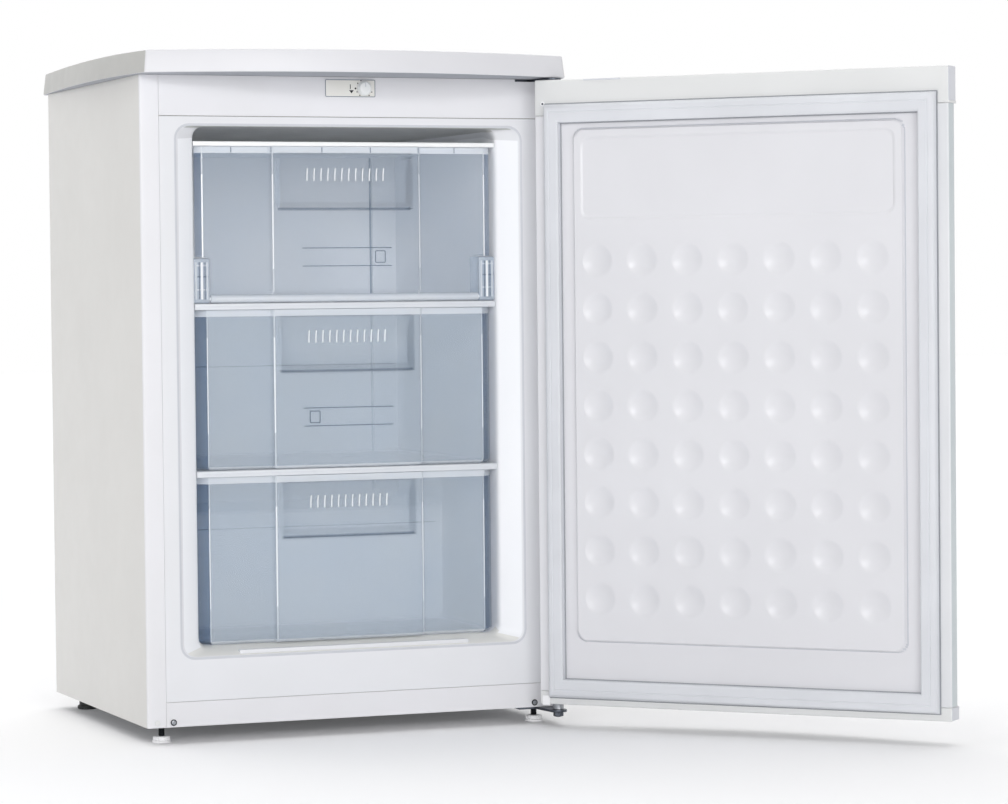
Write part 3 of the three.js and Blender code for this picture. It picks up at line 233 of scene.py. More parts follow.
def rounded_rectangle(
    left: float, right: float, low: float, high: float, radius: float, steps: int = 6
) -> list[Flat]:
    """Lists the points of a rectangle with round corners, counter-clockwise.

    Args:
        left: Lowest first coordinate.
        right: Highest first coordinate.
        low: Lowest second coordinate.
        high: Highest second coordinate.
        radius: Radius of the corners.
        steps: Stretches on each corner.

    Returns:
        The closed outline.
    """
    corners = (
        ((right - radius, low + radius), -90),
        ((right - radius, high - radius), 0),
        ((left + radius, high - radius), 90),
        ((left + radius, low + radius), 180),
    )
    points: list[Flat] = []
    for centre, start in corners:
        points.extend(arc(centre, radius, start, start + 90, steps))
    return points


def rounded_path(points: Sequence[Flat], radius: float, steps: int = 5) -> list[Flat]:
    """Rounds the corners of an open path.

    Args:
        points: Corners of the path.
        radius: Bend radius.
        steps: Stretches on each bend.

    Returns:
        The path with its bends drawn out.
    """
    corners = [Vector(point) for point in points]
    path = [tuple(corners[0])]
    for before, corner, after in zip(corners, corners[1:], corners[2:]):
        back = (before - corner).normalized()
        ahead = (after - corner).normalized()
        turn = math.pi - back.angle(ahead)
        if turn < 0.02:
            path.append(tuple(corner))
            continue
        room = min((before - corner).length, (after - corner).length) / 2
        reach = min(radius * math.tan(turn / 2), room)
        bend = reach / math.tan(turn / 2)
        centre = corner + (back + ahead).normalized() * (bend / math.cos(turn / 2))
        first = corner + back * reach - centre
        last = corner + ahead * reach - centre
        for step in range(steps + 1):
            path.append(tuple(centre + bend * first.slerp(last, step / steps)))
    path.append(tuple(corners[-1]))
    return path


def beside(points: Sequence[Flat], distance: float, closed: bool = False) -> list[Flat]:
    """Moves a path sideways, to its left.

    Args:
        points: Points of the path.
        distance: How far it moves.
        closed: Whether the path is a ring.

    Returns:
        The moved path.
    """
    spots = [Vector(point) for point in points]
    count = len(spots)
    moved = []
    for index, spot in enumerate(spots):
        before = spots[index - 1] if closed or index else None
        after = spots[(index + 1) % count] if closed or index < count - 1 else None
        arrive = (spot - before).normalized() if before is not None else None
        leave = (after - spot).normalized() if after is not None else arrive
        arrive = arrive if arrive is not None else leave
        side = Vector((-arrive.y - leave.y, arrive.x + leave.x)).normalized()
        share = max(0.35, side.dot(Vector((-arrive.y, arrive.x))))
        moved.append(tuple(spot + side * (distance / share)))
    return moved


def strip(path: Sequence[Flat], thickness: float) -> list[Flat]:
    """Gives a bent sheet's closed section from the path of its outer face."""
    return list(path) + beside(path, thickness)[::-1]


def blend_step(value: float, low: float, high: float) -> float:
    """Rises smoothly from 0 at a low value to 1 at a high one."""
    share = min(max((value - low) / (high - low), 0.0), 1.0)
    return share * share * (3 - 2 * share)


def stations(stops: Sequence[float], pitch: float) -> list[float]:
    """Divides a run into even stretches between stops.

    Args:
        stops: Places that have to be in the run, in order.
        pitch: Longest stretch between two stations.

    Returns:
        The stations, stops included.
    """
    run = [stops[0]]
    for start, end in zip(stops, stops[1:]):
        count = max(1, math.ceil((end - start) / pitch - 1e-6))
        run.extend(start + (end - start) * step / count for step in range(1, count + 1))
    return run


# ---------------------------------------------------------------- modelling moves


def only(piece: Piece) -> None:
    """Selects one piece and nothing else.

    Args:
        piece: The piece.
    """
    bpy.ops.object.select_all(action="DESELECT")
    piece.select_set(True)
    bpy.context.view_layer.objects.active = piece


@contextmanager
def editing(piece: Piece) -> Iterator[None]:
    """Opens a piece in edit mode with all of it selected.

    Args:
        piece: The piece.

    Returns:
        A context in which the piece is open.
    """
    only(piece)
    bpy.ops.object.mode_set(mode="EDIT")
    bpy.ops.mesh.select_all(action="SELECT")
    yield
    bpy.ops.object.mode_set(mode="OBJECT")


def added(name: str) -> Piece:
    """Names the primitive that was just added.

    Args:
        name: Name of the piece.

    Returns:
        The piece.
    """
    piece = bpy.context.active_object
    piece.name = name
    piece.data.name = name
    return piece


def face_out(piece: Piece, merge: float = 0.001) -> Piece:
    """Merges doubled points and turns the faces outward.

    Args:
        piece: The piece.
        merge: Distance below which points become one.

    Returns:
        The piece.
    """
    with editing(piece):
        bpy.ops.mesh.remove_doubles(threshold=merge)
        bpy.ops.mesh.normals_make_consistent(inside=False)
    return piece


def slab(name: str, outline: Sequence[Flat], low: float, high: float, axis: Axis = Axis.UP) -> Piece:
    """Draws a flat outline out into a slab.

    Args:
        name: Name of the piece.
        outline: Closed outline: X and Y for an upright slab, X and Z for a deep one, Y and Z across.
        low: Where the slab starts on its axis.
        high: Where it ends.
        axis: Direction of the slab.

    Returns:
        The slab.
    """
    bpy.ops.mesh.primitive_circle_add(vertices=len(outline), fill_type="NGON")
    piece = added(name)
    for vertex, point in zip(piece.data.vertices, outline):
        vertex.co = (*point, low)
    with editing(piece):
        bpy.ops.mesh.extrude_region_move(TRANSFORM_OT_translate={"value": (0, 0, high - low)})
    piece.data.transform(axis.turn())
    return face_out(piece)


def block(name: str, room: Extent, radius: float = 0.0) -> Piece:
    """Makes a block, its upright edges rounded in plan.

    Args:
        name: Name of the piece.
        room: Room that it takes.
        radius: Radius of its corners in plan.

    Returns:
        The block.
    """
    corner = max(radius, 0.01)
    outline = rounded_rectangle(room.left, room.right, room.front, room.rear, corner, 5 if radius else 1)
    return slab(name, outline, room.low, room.high)


def drawn_surface(
    name: str, rows: int, columns: int, place: Callable[[int, int], Spot], merge: float = 0.001
) -> Piece:
    """Lays a grid of points over a surface.

    Args:
        name: Name of the piece.
        rows: Number of rows of points.
        columns: Number of points in a row.
        place: Gives the spot of a row and column.
        merge: Distance below which points become one, so a ring's ends meet.

    Returns:
        The surface, with its faces made consistent.
    """
    bpy.ops.mesh.primitive_grid_add(x_subdivisions=columns - 1, y_subdivisions=rows - 1)
    piece = added(name)
    spots = [value for row in range(rows) for column in range(columns) for value in place(row, column)]
    piece.data.vertices.foreach_set("co", spots)
    piece.data.update()
    return face_out(piece, merge)


def turned(name: str, profile: Sequence[Flat], sides: int = 32) -> Piece:
    """Turns an upright piece: a disc is raised and resized from ring to ring.

    Args:
        name: Name of the piece.
        profile: Radius and height of each ring, from the foot up.
        sides: Sides of the rings.

    Returns:
        The piece, standing on its own axis at the origin.
    """
    radius, height = profile[0]
    start = (0, 0, height)
    bpy.ops.mesh.primitive_circle_add(vertices=sides, radius=radius, fill_type="NGON", location=start)
    piece = added(name)
    bpy.ops.object.transform_apply(location=True, rotation=True, scale=True)
    with editing(piece):
        for next_radius, next_height in profile[1:]:
            rise = (0, 0, next_height - height)
            bpy.ops.mesh.extrude_region_move(TRANSFORM_OT_translate={"value": rise})
            share = next_radius / radius
            bpy.ops.transform.resize(value=(share, share, 1), center_override=(0, 0, next_height))
            radius, height = next_radius, next_height
    return face_out(piece, 1e-4)


def moved(piece: Piece, spot: Spot, axis: Axis = Axis.UP) -> Piece:
    """Lays a turned piece along an axis and moves it to its spot.

    Args:
        piece: The piece.
        spot: Where it goes.
        axis: Axis that it lies along.

    Returns:
        The piece.
    """
    piece.data.transform(Matrix.Translation(spot) @ axis.turn())
    if axis is Axis.DEEP:
        piece.data.flip_normals()
    return piece


def tube(name: str, points: Sequence[Spot], radius: float, ring: int = 4) -> Piece:
    """Runs a round tube along a path.

    Args:
        name: Name of the piece.
        points: Points of the path.
        radius: Radius of the tube.
        ring: Smoothness of the tube's section.

    Returns:
        The closed tube.
    """
    bpy.ops.curve.primitive_nurbs_path_add()
    piece = added(name)
    path = piece.data
    path.splines.clear()
    spline = path.splines.new("POLY")
    spline.points.add(len(points) - 1)
    for knot, spot in zip(spline.points, points):
        knot.co = (*spot, 1)
    path.dimensions = "3D"
    path.bevel_depth = radius
    path.bevel_resolution = ring
    path.use_fill_caps = True
    only(piece)
    bpy.ops.object.convert(target="MESH")
    return face_out(bpy.context.active_object)


def apply_modifier(piece: Piece, kind: str, **settings: object) -> Piece:
    """Adds a modifier with its settings and applies it.

    Args:
        piece: The piece.
        kind: Kind of modifier.
        settings: Its settings, by name.

    Returns:
        The piece.
    """
    only(piece)
    modifier = piece.modifiers.new(kind.title(), kind)
    for setting, value in settings.items():
        setattr(modifier, setting, value)
    bpy.ops.object.modifier_apply(modifier=modifier.name)
    return piece


def round_edges(piece: Piece, width: float, segments: int = 3, angle: float = 40) -> Piece:
    """Rounds the edges that are sharper than an angle in degrees.

    Args:
        piece: The piece.
        width: Width of the rounding.
        segments: Strips across the rounding.
        angle: Sharpness of an edge, in degrees.

    Returns:
        The piece.
    """
    return apply_modifier(
        piece, "BEVEL", width=width, segments=segments, limit_method="ANGLE",
        angle_limit=math.radians(angle), use_clamp_overlap=True, harden_normals=False,
    )


def thicken(piece: Piece, wall: float, side: float = -1) -> Piece:
    """Gives a surface its wall, inward for -1 and outward for 1."""
    return apply_modifier(piece, "SOLIDIFY", thickness=wall, offset=side, use_even_offset=True)


def carve(piece: Piece, tool: Piece) -> Piece:
    """Cuts a tool's shape out of a piece and removes the tool.

    Args:
        piece: The piece.
        tool: Shape that is cut away.

    Returns:
        The piece.
    """
    apply_modifier(piece, "BOOLEAN", object=tool, operation="DIFFERENCE", solver="EXACT")
    bpy.data.objects.remove(tool)
    return piece


def shade(piece: Piece, angle: float = 35) -> Piece:
    """Shades a piece smooth, apart from edges sharper than an angle in degrees.

    Args:
        piece: The piece.
        angle: Sharpness of an edge, in degrees.

    Returns:
        The piece.
    """
    only(piece)
    bpy.ops.object.shade_smooth_by_angle(angle=math.radians(angle))
    return piece


def tint_faces(piece: Piece, index: int, wanted: Callable[[Vector, Vector], bool]) -> None:
    """Gives another finish to the faces that a test picks by their middle and normal.

    Args:
        piece: The piece.
        index: Number of the finish.
        wanted: Test of a face, by its middle and its normal.
    """
    for face in piece.data.polygons:
        if wanted(face.center, face.normal):
            face.material_index = index


def tint(piece: Piece, index: int) -> Piece:
    """Gives a whole piece the finish of an index."""
    tint_faces(piece, index, lambda spot, normal: True)
    return piece


def bore(piece: Piece, spot: Spot, radius: float, height: float, sides: int = 28) -> Piece:
    """Drills an upright round hole, from a spot upward."""
    tool = turned("bore_tool", [(radius, 0), (radius, height)], sides)
    return carve(piece, moved(tool, spot))


def facing(piece: Piece, spot: Spot, side: float = 1) -> Piece:
    """Lays an upright piece forward for 1 or backward for -1, and moves it to its spot."""
    piece.data.transform(Matrix.Translation(spot) @ Matrix.Rotation(side * math.pi / 2, 4, "X"))
    return piece


def ring_of_ribs(name: str, room: Extent, count: int) -> list[Piece]:
    """Repeats a block in a ring about the upright axis.

    Args:
        name: Name of the piece.
        room: Room that the first copy takes.
        count: Number of copies.

    Returns:
        The blocks.
    """
    ribs = []
    for index in range(count):
        ribs.append(block(name, room))
        ribs[-1].data.transform(Matrix.Rotation(math.tau * index / count, 4, "Z"))
    return ribs


# ---------------------------------------------------------------- finishes


def linear(colour: Spot) -> tuple[float, float, float, float]:
    """Turns a colour from 0 to 255 into the shader's linear values."""
    shares = [value / 255 for value in colour]
    return (*[c / 12.92 if c <= 0.04045 else ((c + 0.055) / 1.055) ** 2.4 for c in shares], 1.0)


class Bench:
    """Lays out the shader nodes of one finish."""

    def __init__(self, name: str) -> None:
        """Starts a finish from a plain shader.

        Args:
            name: Name of the finish.
        """
        self.material = bpy.data.materials.new(name)
        self.material.use_nodes = True
        self.tree = self.material.node_tree
        self.shader = self.tree.nodes["Principled BSDF"]
        self.spots = self.tree.nodes.new("ShaderNodeTexCoord")

    def node(self, kind: str, **values: object) -> bpy.types.Node:
        """Adds a node, with its input sockets set by name.

        Args:
            kind: Kind of node.
            values: Values of its sockets, by name.

        Returns:
            The node.
        """
        node = self.tree.nodes.new(kind)
        for name, value in values.items():
            node.inputs[name.replace("_", " ").title()].default_value = value
        return node

    def link(self, source: Socket, target: Socket) -> None:
        """Joins two sockets."""
        self.tree.links.new(source, target)

    def mapped(self, stretch: Spot) -> Socket:
        """Gives the piece's own coordinates, stretched by direction.

        Args:
            stretch: Multiplies the coordinates by direction.

        Returns:
            The coordinates.
        """
        mapping = self.node("ShaderNodeMapping", scale=stretch)
        self.link(self.spots.outputs["Object"], mapping.inputs["Vector"])
        return mapping.outputs["Vector"]

    def grain(self, size: float, stretch: Spot = (1, 1, 1), detail: float = 2) -> Socket:
        """Adds a cloudy pattern.

        Args:
            size: Size of the grain, in metres.
            stretch: Multiplies the coordinates by direction.
            detail: How many finer layers lie on it.

        Returns:
            The pattern's value.
        """
        noise = self.node("ShaderNodeTexNoise", scale=1 / size, detail=detail, roughness=0.55)
        self.link(self.mapped(stretch), noise.inputs["Vector"])
        return noise.outputs["Fac"]

    def cells(self, size: float, stretch: Spot = (1, 1, 1)) -> Socket:
        """Adds a pattern of cells and gives the distance to their middles.

        Args:
            size: Size of the cells, in metres.
            stretch: Multiplies the coordinates by direction.

        Returns:
            The distance.
        """
        voronoi = self.node("ShaderNodeTexVoronoi", scale=1 / size)
        self.link(self.mapped(stretch), voronoi.inputs["Vector"])
        return voronoi.outputs["Distance"]

    def spread(self, value: Socket, source: Flat, target: Flat) -> Socket:
        """Maps a value from one range to another.

        Args:
            value: Value that is mapped.
            source: Range that it has.
            target: Range that it gets.

        Returns:
            The mapped value.
        """
        spread = self.node("ShaderNodeMapRange")
        ends = {"From Min": source[0], "From Max": source[1], "To Min": target[0], "To Max": target[1]}
        for name, end in ends.items():
            spread.inputs[name].default_value = end
        self.link(value, spread.inputs["Value"])
        return spread.outputs["Result"]

    def two_tone(
        self, share: Socket, first: Spot | Socket, second: Spot
    ) -> Socket:
        """Mixes two colours by a share.

        Args:
            share: Share of the second colour.
            first: First colour, or the socket that gives it.
            second: Second colour.

        Returns:
            The mixed colour.
        """
        mix = self.tree.nodes.new("ShaderNodeMix")
        mix.data_type = "RGBA"
        factor, colour_a, colour_b = mix.inputs[0], mix.inputs[6], mix.inputs[7]
        self.link(share, factor)
        if isinstance(first, Socket):
            self.link(first, colour_a)
        else:
            colour_a.default_value = linear(first)
        colour_b.default_value = linear(second)
        return mix.outputs[2]

    def upward(self) -> Socket:
        """Gives how far a face looks upward, where dust settles.

        Returns:
            1 for a level face that looks up, 0 for an upright one.
        """
        geometry = self.tree.nodes.new("ShaderNodeNewGeometry")
        split = self.tree.nodes.new("ShaderNodeSeparateXYZ")
        self.link(geometry.outputs["Normal"], split.inputs["Vector"])
        return split.outputs["Z"]

    def relief(
        self, height: Socket, depth: float, under: Socket | None = None
    ) -> Socket:
        """Raises the surface by a pattern.

        Args:
            height: The pattern.
            depth: Depth of the relief, in metres.
            under: Relief that lies below this one.

        Returns:
            The bent normal.
        """
        bump = self.node("ShaderNodeBump", strength=1.0, distance=depth)
        self.link(height, bump.inputs["Height"])
        if under is not None:
            self.link(under, bump.inputs["Normal"])
        self.link(bump.outputs["Normal"], self.shader.inputs["Normal"])
        return bump.outputs["Normal"]

    def use(self, **values: object) -> None:
        """Sets the shader's sockets, by link for a socket and by value for a constant.

        Args:
            values: Values or sockets, by the name of the shader's socket.
        """
        for name, value in values.items():
            target = self.shader.inputs[name.replace("_", " ")]
            if isinstance(value, Socket):
                self.link(value, target)
            else:
                target.default_value = value


@dataclass(frozen=True)
class Finish:
    """A surface finish: two close tones, a range of gloss and a fine relief."""

    name: str
    slot: str
    colour: Spot
    shade: Spot
    gloss: Flat = (0.34, 0.44)
    patch: float = 0.16
    grain: float = 0.0015
    depth: float = 0.000012
    stretch: Spot = (1, 1, 1)

    def material(self) -> bpy.types.Material:
        """Gives the finish's material, made once.

        Returns:
            The material.
        """
        made = bpy.data.materials.get(f"finish_{self.name}")
        if made is None:
            bench = Bench(f"finish_{self.name}")
            self.lay(bench)
            made = bench.material
        return made

    def mottled(self, bench: Bench) -> Socket:
        """Mixes the two tones in large soft patches."""
        patches = bench.spread(bench.grain(self.patch, self.stretch, 3), (0.35, 0.7), (0, 1))
        return bench.two_tone(patches, self.colour, self.shade)

    def lay(self, bench: Bench) -> None:
        """Lays the tones, the gloss and the relief on a bench.

        Args:
            bench: Bench that the nodes stand on.
        """
        bench.use(Base_Color=self.mottled(bench))
        worn = bench.spread(bench.grain(self.patch / 6, self.stretch, 4), (0.3, 0.7), self.gloss)
        bench.use(Roughness=worn)
        bench.relief(bench.grain(self.grain, self.stretch), self.depth)


@dataclass(frozen=True)
class Painted(Finish):
    """Sprayed coat with a light orange-peel ripple and a thin clear gloss."""

    coat: float = 0.06

    def lay(self, bench: Bench) -> None:
        """Adds the ripple of the spray to the plain finish.

        Args:
            bench: Bench that the nodes stand on.
        """
        super().lay(bench)
        bench.use(Coat_Weight=self.coat, Coat_Roughness=0.3)
        bench.relief(bench.grain(self.grain * 2, self.stretch, 1), self.depth / 2)


@dataclass(frozen=True)
class Moulded(Finish):
    """Moulded plastic with a fine spark-eroded grain and faint flow marks."""

    def lay(self, bench: Bench) -> None:
        """Adds the grain of the mould to the plain finish.

        Args:
            bench: Bench that the nodes stand on.
        """
        super().lay(bench)
        bench.use(Specular_IOR_Level=0.42)
        bench.relief(bench.cells(self.grain, self.stretch), self.depth)


@dataclass(frozen=True)
class Formed(Moulded):
    """Drawn plastic sheet of the linings, with a finer grain."""

    gloss: Flat = (0.3, 0.42)
    patch: float = 0.1
    grain: float = 0.0011


@dataclass(frozen=True)
class Clear(Finish):
    """Clear tinted moulding, thicker to look through at its rims, and used paler as painted highlight on ridges
    and edges.
    """

    patch: float = 0.05
    grain: float = 0.003
    depth: float = 0.000008
    alpha: float = 0.3

    def lay(self, bench: Bench) -> None:
        """Adds the transparency and the fine scuffs of a clear moulding.

        Args:
            bench: Bench that the nodes stand on.
        """
        super().lay(bench)
        cloud = bench.grain(self.patch, self.stretch, 3)
        bench.use(Alpha=bench.spread(cloud, (0.2, 0.8), (self.alpha * 0.93, self.alpha * 1.07)))
        bench.use(IOR=1.49, Specular_IOR_Level=0.5)


@dataclass(frozen=True)
class Metal(Finish):
    """Plated or rolled metal with its drawn lines and a few dull spots."""

    metallic: float = 0.9

    def lay(self, bench: Bench) -> None:
        """Adds the drawn lines and dull spots to the plain finish.

        Args:
            bench: Bench that the nodes stand on.
        """
        super().lay(bench)
        spots = bench.spread(bench.cells(self.patch / 10), (0.0, 0.6), (0, 1))
        tone = bench.two_tone(spots, self.colour, self.shade)
        bench.use(Base_Color=tone, Metallic=self.metallic)
        lines = bench.grain(self.grain, (1, 1, 14), 3)
        bench.relief(lines, self.depth)


@dataclass(frozen=True)
class Dusty(Finish):
    """Dark finish that takes a little pale dust on its upper faces."""

    metallic: float = 0.0
    dust: Spot = (120, 118, 114)

    def lay(self, bench: Bench) -> None:
        """Adds the dust to the plain finish.

        Args:
            bench: Bench that the nodes stand on.
        """
        super().lay(bench)
        clean = self.mottled(bench)
        settled = bench.spread(bench.upward(), (0.3, 1.0), (0.0, 0.35))
        bench.use(Base_Color=bench.two_tone(settled, clean, self.dust), Metallic=self.metallic)


@dataclass(frozen=True)
class Cellular(Finish):
    """Rigid foam with open cells where it was trimmed."""

    def lay(self, bench: Bench) -> None:
        """Adds the cells to the plain finish.

        Args:
            bench: Bench that the nodes stand on.
        """
        super().lay(bench)
        cells = bench.cells(self.grain, self.stretch)
        pores = bench.spread(cells, (0.1, 0.7), (0, 1))
        bench.use(Base_Color=bench.two_tone(pores, self.colour, self.shade))
        rough = bench.relief(cells, self.depth)
        bench.relief(bench.grain(self.grain * 12), self.depth * 2, rough)


WHITE_PAINT = Painted(
    "white_paint", "white_paint", (229, 229, 233), (225, 225, 228), (0.3, 0.36), grain=0.0008, depth=0.000008
)
# Darker copy of the white paint for the side panels' outer faces: painted shade, for the side that gets less
# light.
WHITE_SIDE_PAINTED_SHADE = Painted(
    "white_paint_side_painted_shade", "white_paint", (217, 216, 213), (214, 213, 210), (0.3, 0.4), grain=0.0008,
    depth=0.000008,
)
WHITE_TOP = Painted(
    "worktop_laminate", "worktop_laminate", (220, 220, 224), (217, 217, 221), (0.3, 0.4), grain=0.0009
)
# Darker grey for the worktop's side faces: painted shade on the faces turned from the light.
TOP_SIDE_PAINTED_SHADE = Painted(
    "worktop_side_painted_shade", "worktop_laminate", (184, 184, 181), (179, 179, 176), grain=0.0009, coat=0.05
)
# Grey for the worktop's underside: painted shade under the overhang.
TOP_UNDERSIDE_PAINTED_SHADE = Finish("worktop_underside_painted_shade", "worktop_laminate", (170, 173, 180), (162, 165, 172), (0.6, 0.7))
WHITE_PLASTIC = Moulded("white_plastic", "white_plastic", (225, 226, 226), (220, 221, 221))
# The top trim gets a brighter white and the lower trims a greyer one of the same plastic: painted light and
# painted shade.
TRIM_PAINTED_LIGHT = Moulded("trim_plastic_top_painted_light", "white_plastic", (249, 250, 250), (244, 245, 246))
TRIM_PAINTED_SHADE = Moulded("trim_plastic_low_painted_shade", "white_plastic", (220, 223, 228), (213, 217, 223))
# Bluish grey for the door caps' free-end faces and the top tab: painted shade on faces turned from the light.
CAP_END_PAINTED_SHADE = Moulded("cap_end_painted_shade", "white_plastic", (213, 215, 221), (207, 209, 216))
# Whiter copy of the white plastic for the foot pads, the cap boss and the corner block: painted light, so they
# stay bright in shade.
PALE_PLASTIC_PAINTED_LIGHT = Moulded("pale_plastic_painted_light", "white_plastic", (248, 248, 249), (243, 243, 245))
LINER_PLASTIC = Formed("liner_plastic", "liner_plastic", (229, 230, 234), (224, 225, 228), patch=0.22)
# Slightly lighter, warmer white for the sill's upward faces: painted light on the floor of the mouth.
LINER_SILL_PAINTED_LIGHT = Formed("liner_sill_painted_light", "liner_plastic", (232, 232, 230), (226, 226, 222))
# Near-white copy of the lining for its inside walls and the duct: painted light, to lift the shade inside the
# cavity.
LINER_INSIDE_PAINTED_LIGHT = Formed("liner_inside_painted_light", "liner_plastic", (247, 248, 251), (243, 245, 249), patch=0.2)
# Grey for fine lines of painted shade along the mouth's edge and the door panel's raised edge, and for the dial's
# printed pointer.
LINER_SHADE_LINE_AND_INK = Formed("liner_line_painted_shade_and_ink", "liner_plastic", (205, 207, 213), (198, 200, 207), (0.4, 0.5))
# Grey for the lining's ceiling faces above the top shelf: painted shade.
LINER_CEILING_PAINTED_SHADE = Formed("liner_ceiling_painted_shade", "liner_plastic", (196, 197, 195), (186, 187, 185), (0.45, 0.55))
# Dark blue-grey for the strip beside the duct and the control plate's border: painted shade.
LINER_SEAM_PAINTED_SHADE = Formed("liner_seam_painted_shade", "liner_plastic", (128, 138, 152), (118, 128, 142), (0.4, 0.5))
DOOR_LINING = Formed(
    "door_lining", "liner_plastic", (224, 224, 228), (220, 220, 224), (0.285, 0.31), 0.22, depth=0.000005
)
CREAM_PLASTIC = Moulded("cream_plastic", "cream_plastic", (236, 235, 230), (231, 230, 224), (0.36, 0.46))
KNOB_PLASTIC = Moulded("knob_plastic", "cream_plastic", (243, 245, 245), (238, 240, 240))
MARK_INK = Moulded("mark_ink", "cream_plastic", (34, 36, 42), (28, 30, 36), (0.4, 0.5), 0.05, 0.001, 0.00001)
EDGE_STRIP = Moulded("edge_strip", "edge_strip", (223, 224, 227), (217, 219, 222))
# Grey-blue for the grip strip's side face: painted shade on the face turned from the light.
EDGE_SIDE_PAINTED_SHADE = Moulded("edge_strip_side_painted_shade", "edge_strip", (200, 208, 211), (193, 201, 205))
CLEAR_PLASTIC = Clear(
    "clear_plastic", "clear_plastic", (212, 229, 248), (204, 223, 245), (0.06, 0.14), 0.09, 0.004, alpha=0.17
)
# Paler, more opaque copy for the rims, the barrel, the floor edge and the ridge lines: thicker plastic at the
# rims, painted highlight on the ridges and edges.
CLEAR_RIM_AND_HIGHLIGHT = Clear(
    "clear_plastic_rim_and_painted_highlight", "clear_plastic", (238, 243, 249), (230, 237, 246), (0.1, 0.2), alpha=0.6
)
# Dark blue lines at the foot of the scoop and on the bracket ribs are painted shade; the marks and ticks in it are
# print.
CLEAR_SHADE_LINE_AND_PRINT = Clear(
    "clear_plastic_painted_shade_and_print", "clear_plastic", (92, 116, 144), (84, 108, 136), (0.1, 0.2), alpha=0.55
)
# Near-white, almost opaque copy for the ridges and bracket ribs: painted glint.
CLEAR_PAINTED_GLINT = Clear(
    "clear_plastic_painted_glint", "clear_plastic", (252, 253, 255), (248, 251, 255), (0.06, 0.12), alpha=0.9
)
# Dark blue copy for the corner facets: painted shade where they turn from the light.
CLEAR_FACET_PAINTED_SHADE = Clear(
    "clear_plastic_corner_painted_shade", "clear_plastic", (112, 146, 186), (104, 138, 180), (0.06, 0.14), alpha=0.2
)
CLEAR_BLOCK = Clear(
    "clear_plastic_block", "clear_plastic", (216, 227, 240), (206, 219, 236), (0.08, 0.16), 0.02, alpha=0.5
)
# Whiter, more opaque copy of the clear plastic for the drawer tubs: painted light, so the tubs read lighter than
# the flap.
CLEAR_TUB_PAINTED_LIGHT = Clear(
    "clear_plastic_tub_painted_light", "clear_plastic", (226, 239, 252), (218, 233, 249), (0.06, 0.14), 0.09, 0.004,
    alpha=0.26,
)
CLEAR_SET = [CLEAR_PLASTIC, CLEAR_RIM_AND_HIGHLIGHT, CLEAR_SHADE_LINE_AND_PRINT, CLEAR_PAINTED_GLINT, CLEAR_FACET_PAINTED_SHADE]
TUB_SET = [CLEAR_TUB_PAINTED_LIGHT, *CLEAR_SET[1:]]
GASKET_VINYL = Moulded(
    "gasket_vinyl", "gasket_vinyl", (219, 221, 226), (213, 215, 220), (0.5, 0.62), 0.1, 0.0016, 0.00004
)
# Grey for the gasket's back edge: painted shadow along its outer rim.
GASKET_SHADOW = Moulded(
    "gasket_painted_shadow", "gasket_vinyl", (158, 161, 167), (150, 153, 159), (0.55, 0.68), 0.06, 0.0016, 0.00004
)
RIGID_FOAM = Cellular(
    "rigid_foam", "rigid_foam", (204, 201, 192), (184, 180, 168), (0.8, 0.95), 0.1, 0.0022, 0.0003
)
SHELF_ENAMEL = Painted(
    "shelf_enamel", "zinc_steel", (226, 229, 234), (218, 222, 228), (0.34, 0.46), 0.06, 0.0009, 0.000008
)
ZINC_STEEL = Metal(
    "zinc_steel", "zinc_steel", (176, 178, 181), (150, 153, 158), (0.3, 0.42), 0.05, 0.0012, 0.00002
)
HINGE_STEEL = Metal(
    "hinge_steel", "dark_steel", (98, 102, 110), (78, 82, 90), (0.3, 0.44), 0.04, 0.001, 0.00002
)
DARK_STEEL = Metal("dark_steel", "dark_steel", (64, 66, 70), (48, 50, 54), (0.34, 0.5), 0.04, 0.001, 0.00003)
COPPER_TUBE = Metal(
    "copper_tube", "copper_tube", (190, 118, 74), (140, 82, 52), (0.3, 0.46), 0.04, 0.0015, 0.00002
)
BLACK_ENAMEL = Dusty(
    "black_enamel", "black_enamel", (28, 29, 32), (20, 21, 24), (0.3, 0.42), 0.08, 0.002, 0.00003
)
BLACK_PLASTIC = Dusty(
    "black_plastic", "black_plastic", (34, 35, 38), (26, 27, 29), (0.42, 0.56), 0.06, 0.0012, 0.00003
)
BLACK_RUBBER = Dusty(
    "black_rubber", "black_rubber", (30, 30, 30), (22, 22, 22), (0.7, 0.85), 0.05, 0.0012, 0.00005
)


def give_finishes(piece: Piece, finishes: Sequence[Finish]) -> Piece:
    """Gives a piece its finishes, in the order of its faces' numbers.

    Args:
        piece: The piece.
        finishes: Finishes, in the order of the faces' numbers.

    Returns:
        The piece.
    """
    for finish in finishes:
        piece.data.materials.append(finish.material())
    return piece


def joined(name: str, pieces: Sequence[Piece], finishes: Sequence[Finish]) -> Piece:
    """Joins pieces that share the same finishes into the first one.

    Args:
        name: Name of the piece.
        pieces: Pieces that are joined.
        finishes: Finishes, in the order of the faces' numbers.

    Returns:
        The joined piece.
    """
    bpy.ops.object.select_all(action="DESELECT")
    for piece in pieces:
        give_finishes(piece, finishes)
        piece.select_set(True)
    bpy.context.view_layer.objects.active = pieces[0]
    bpy.ops.object.join()
    pieces[0].name = name
    return pieces[0]


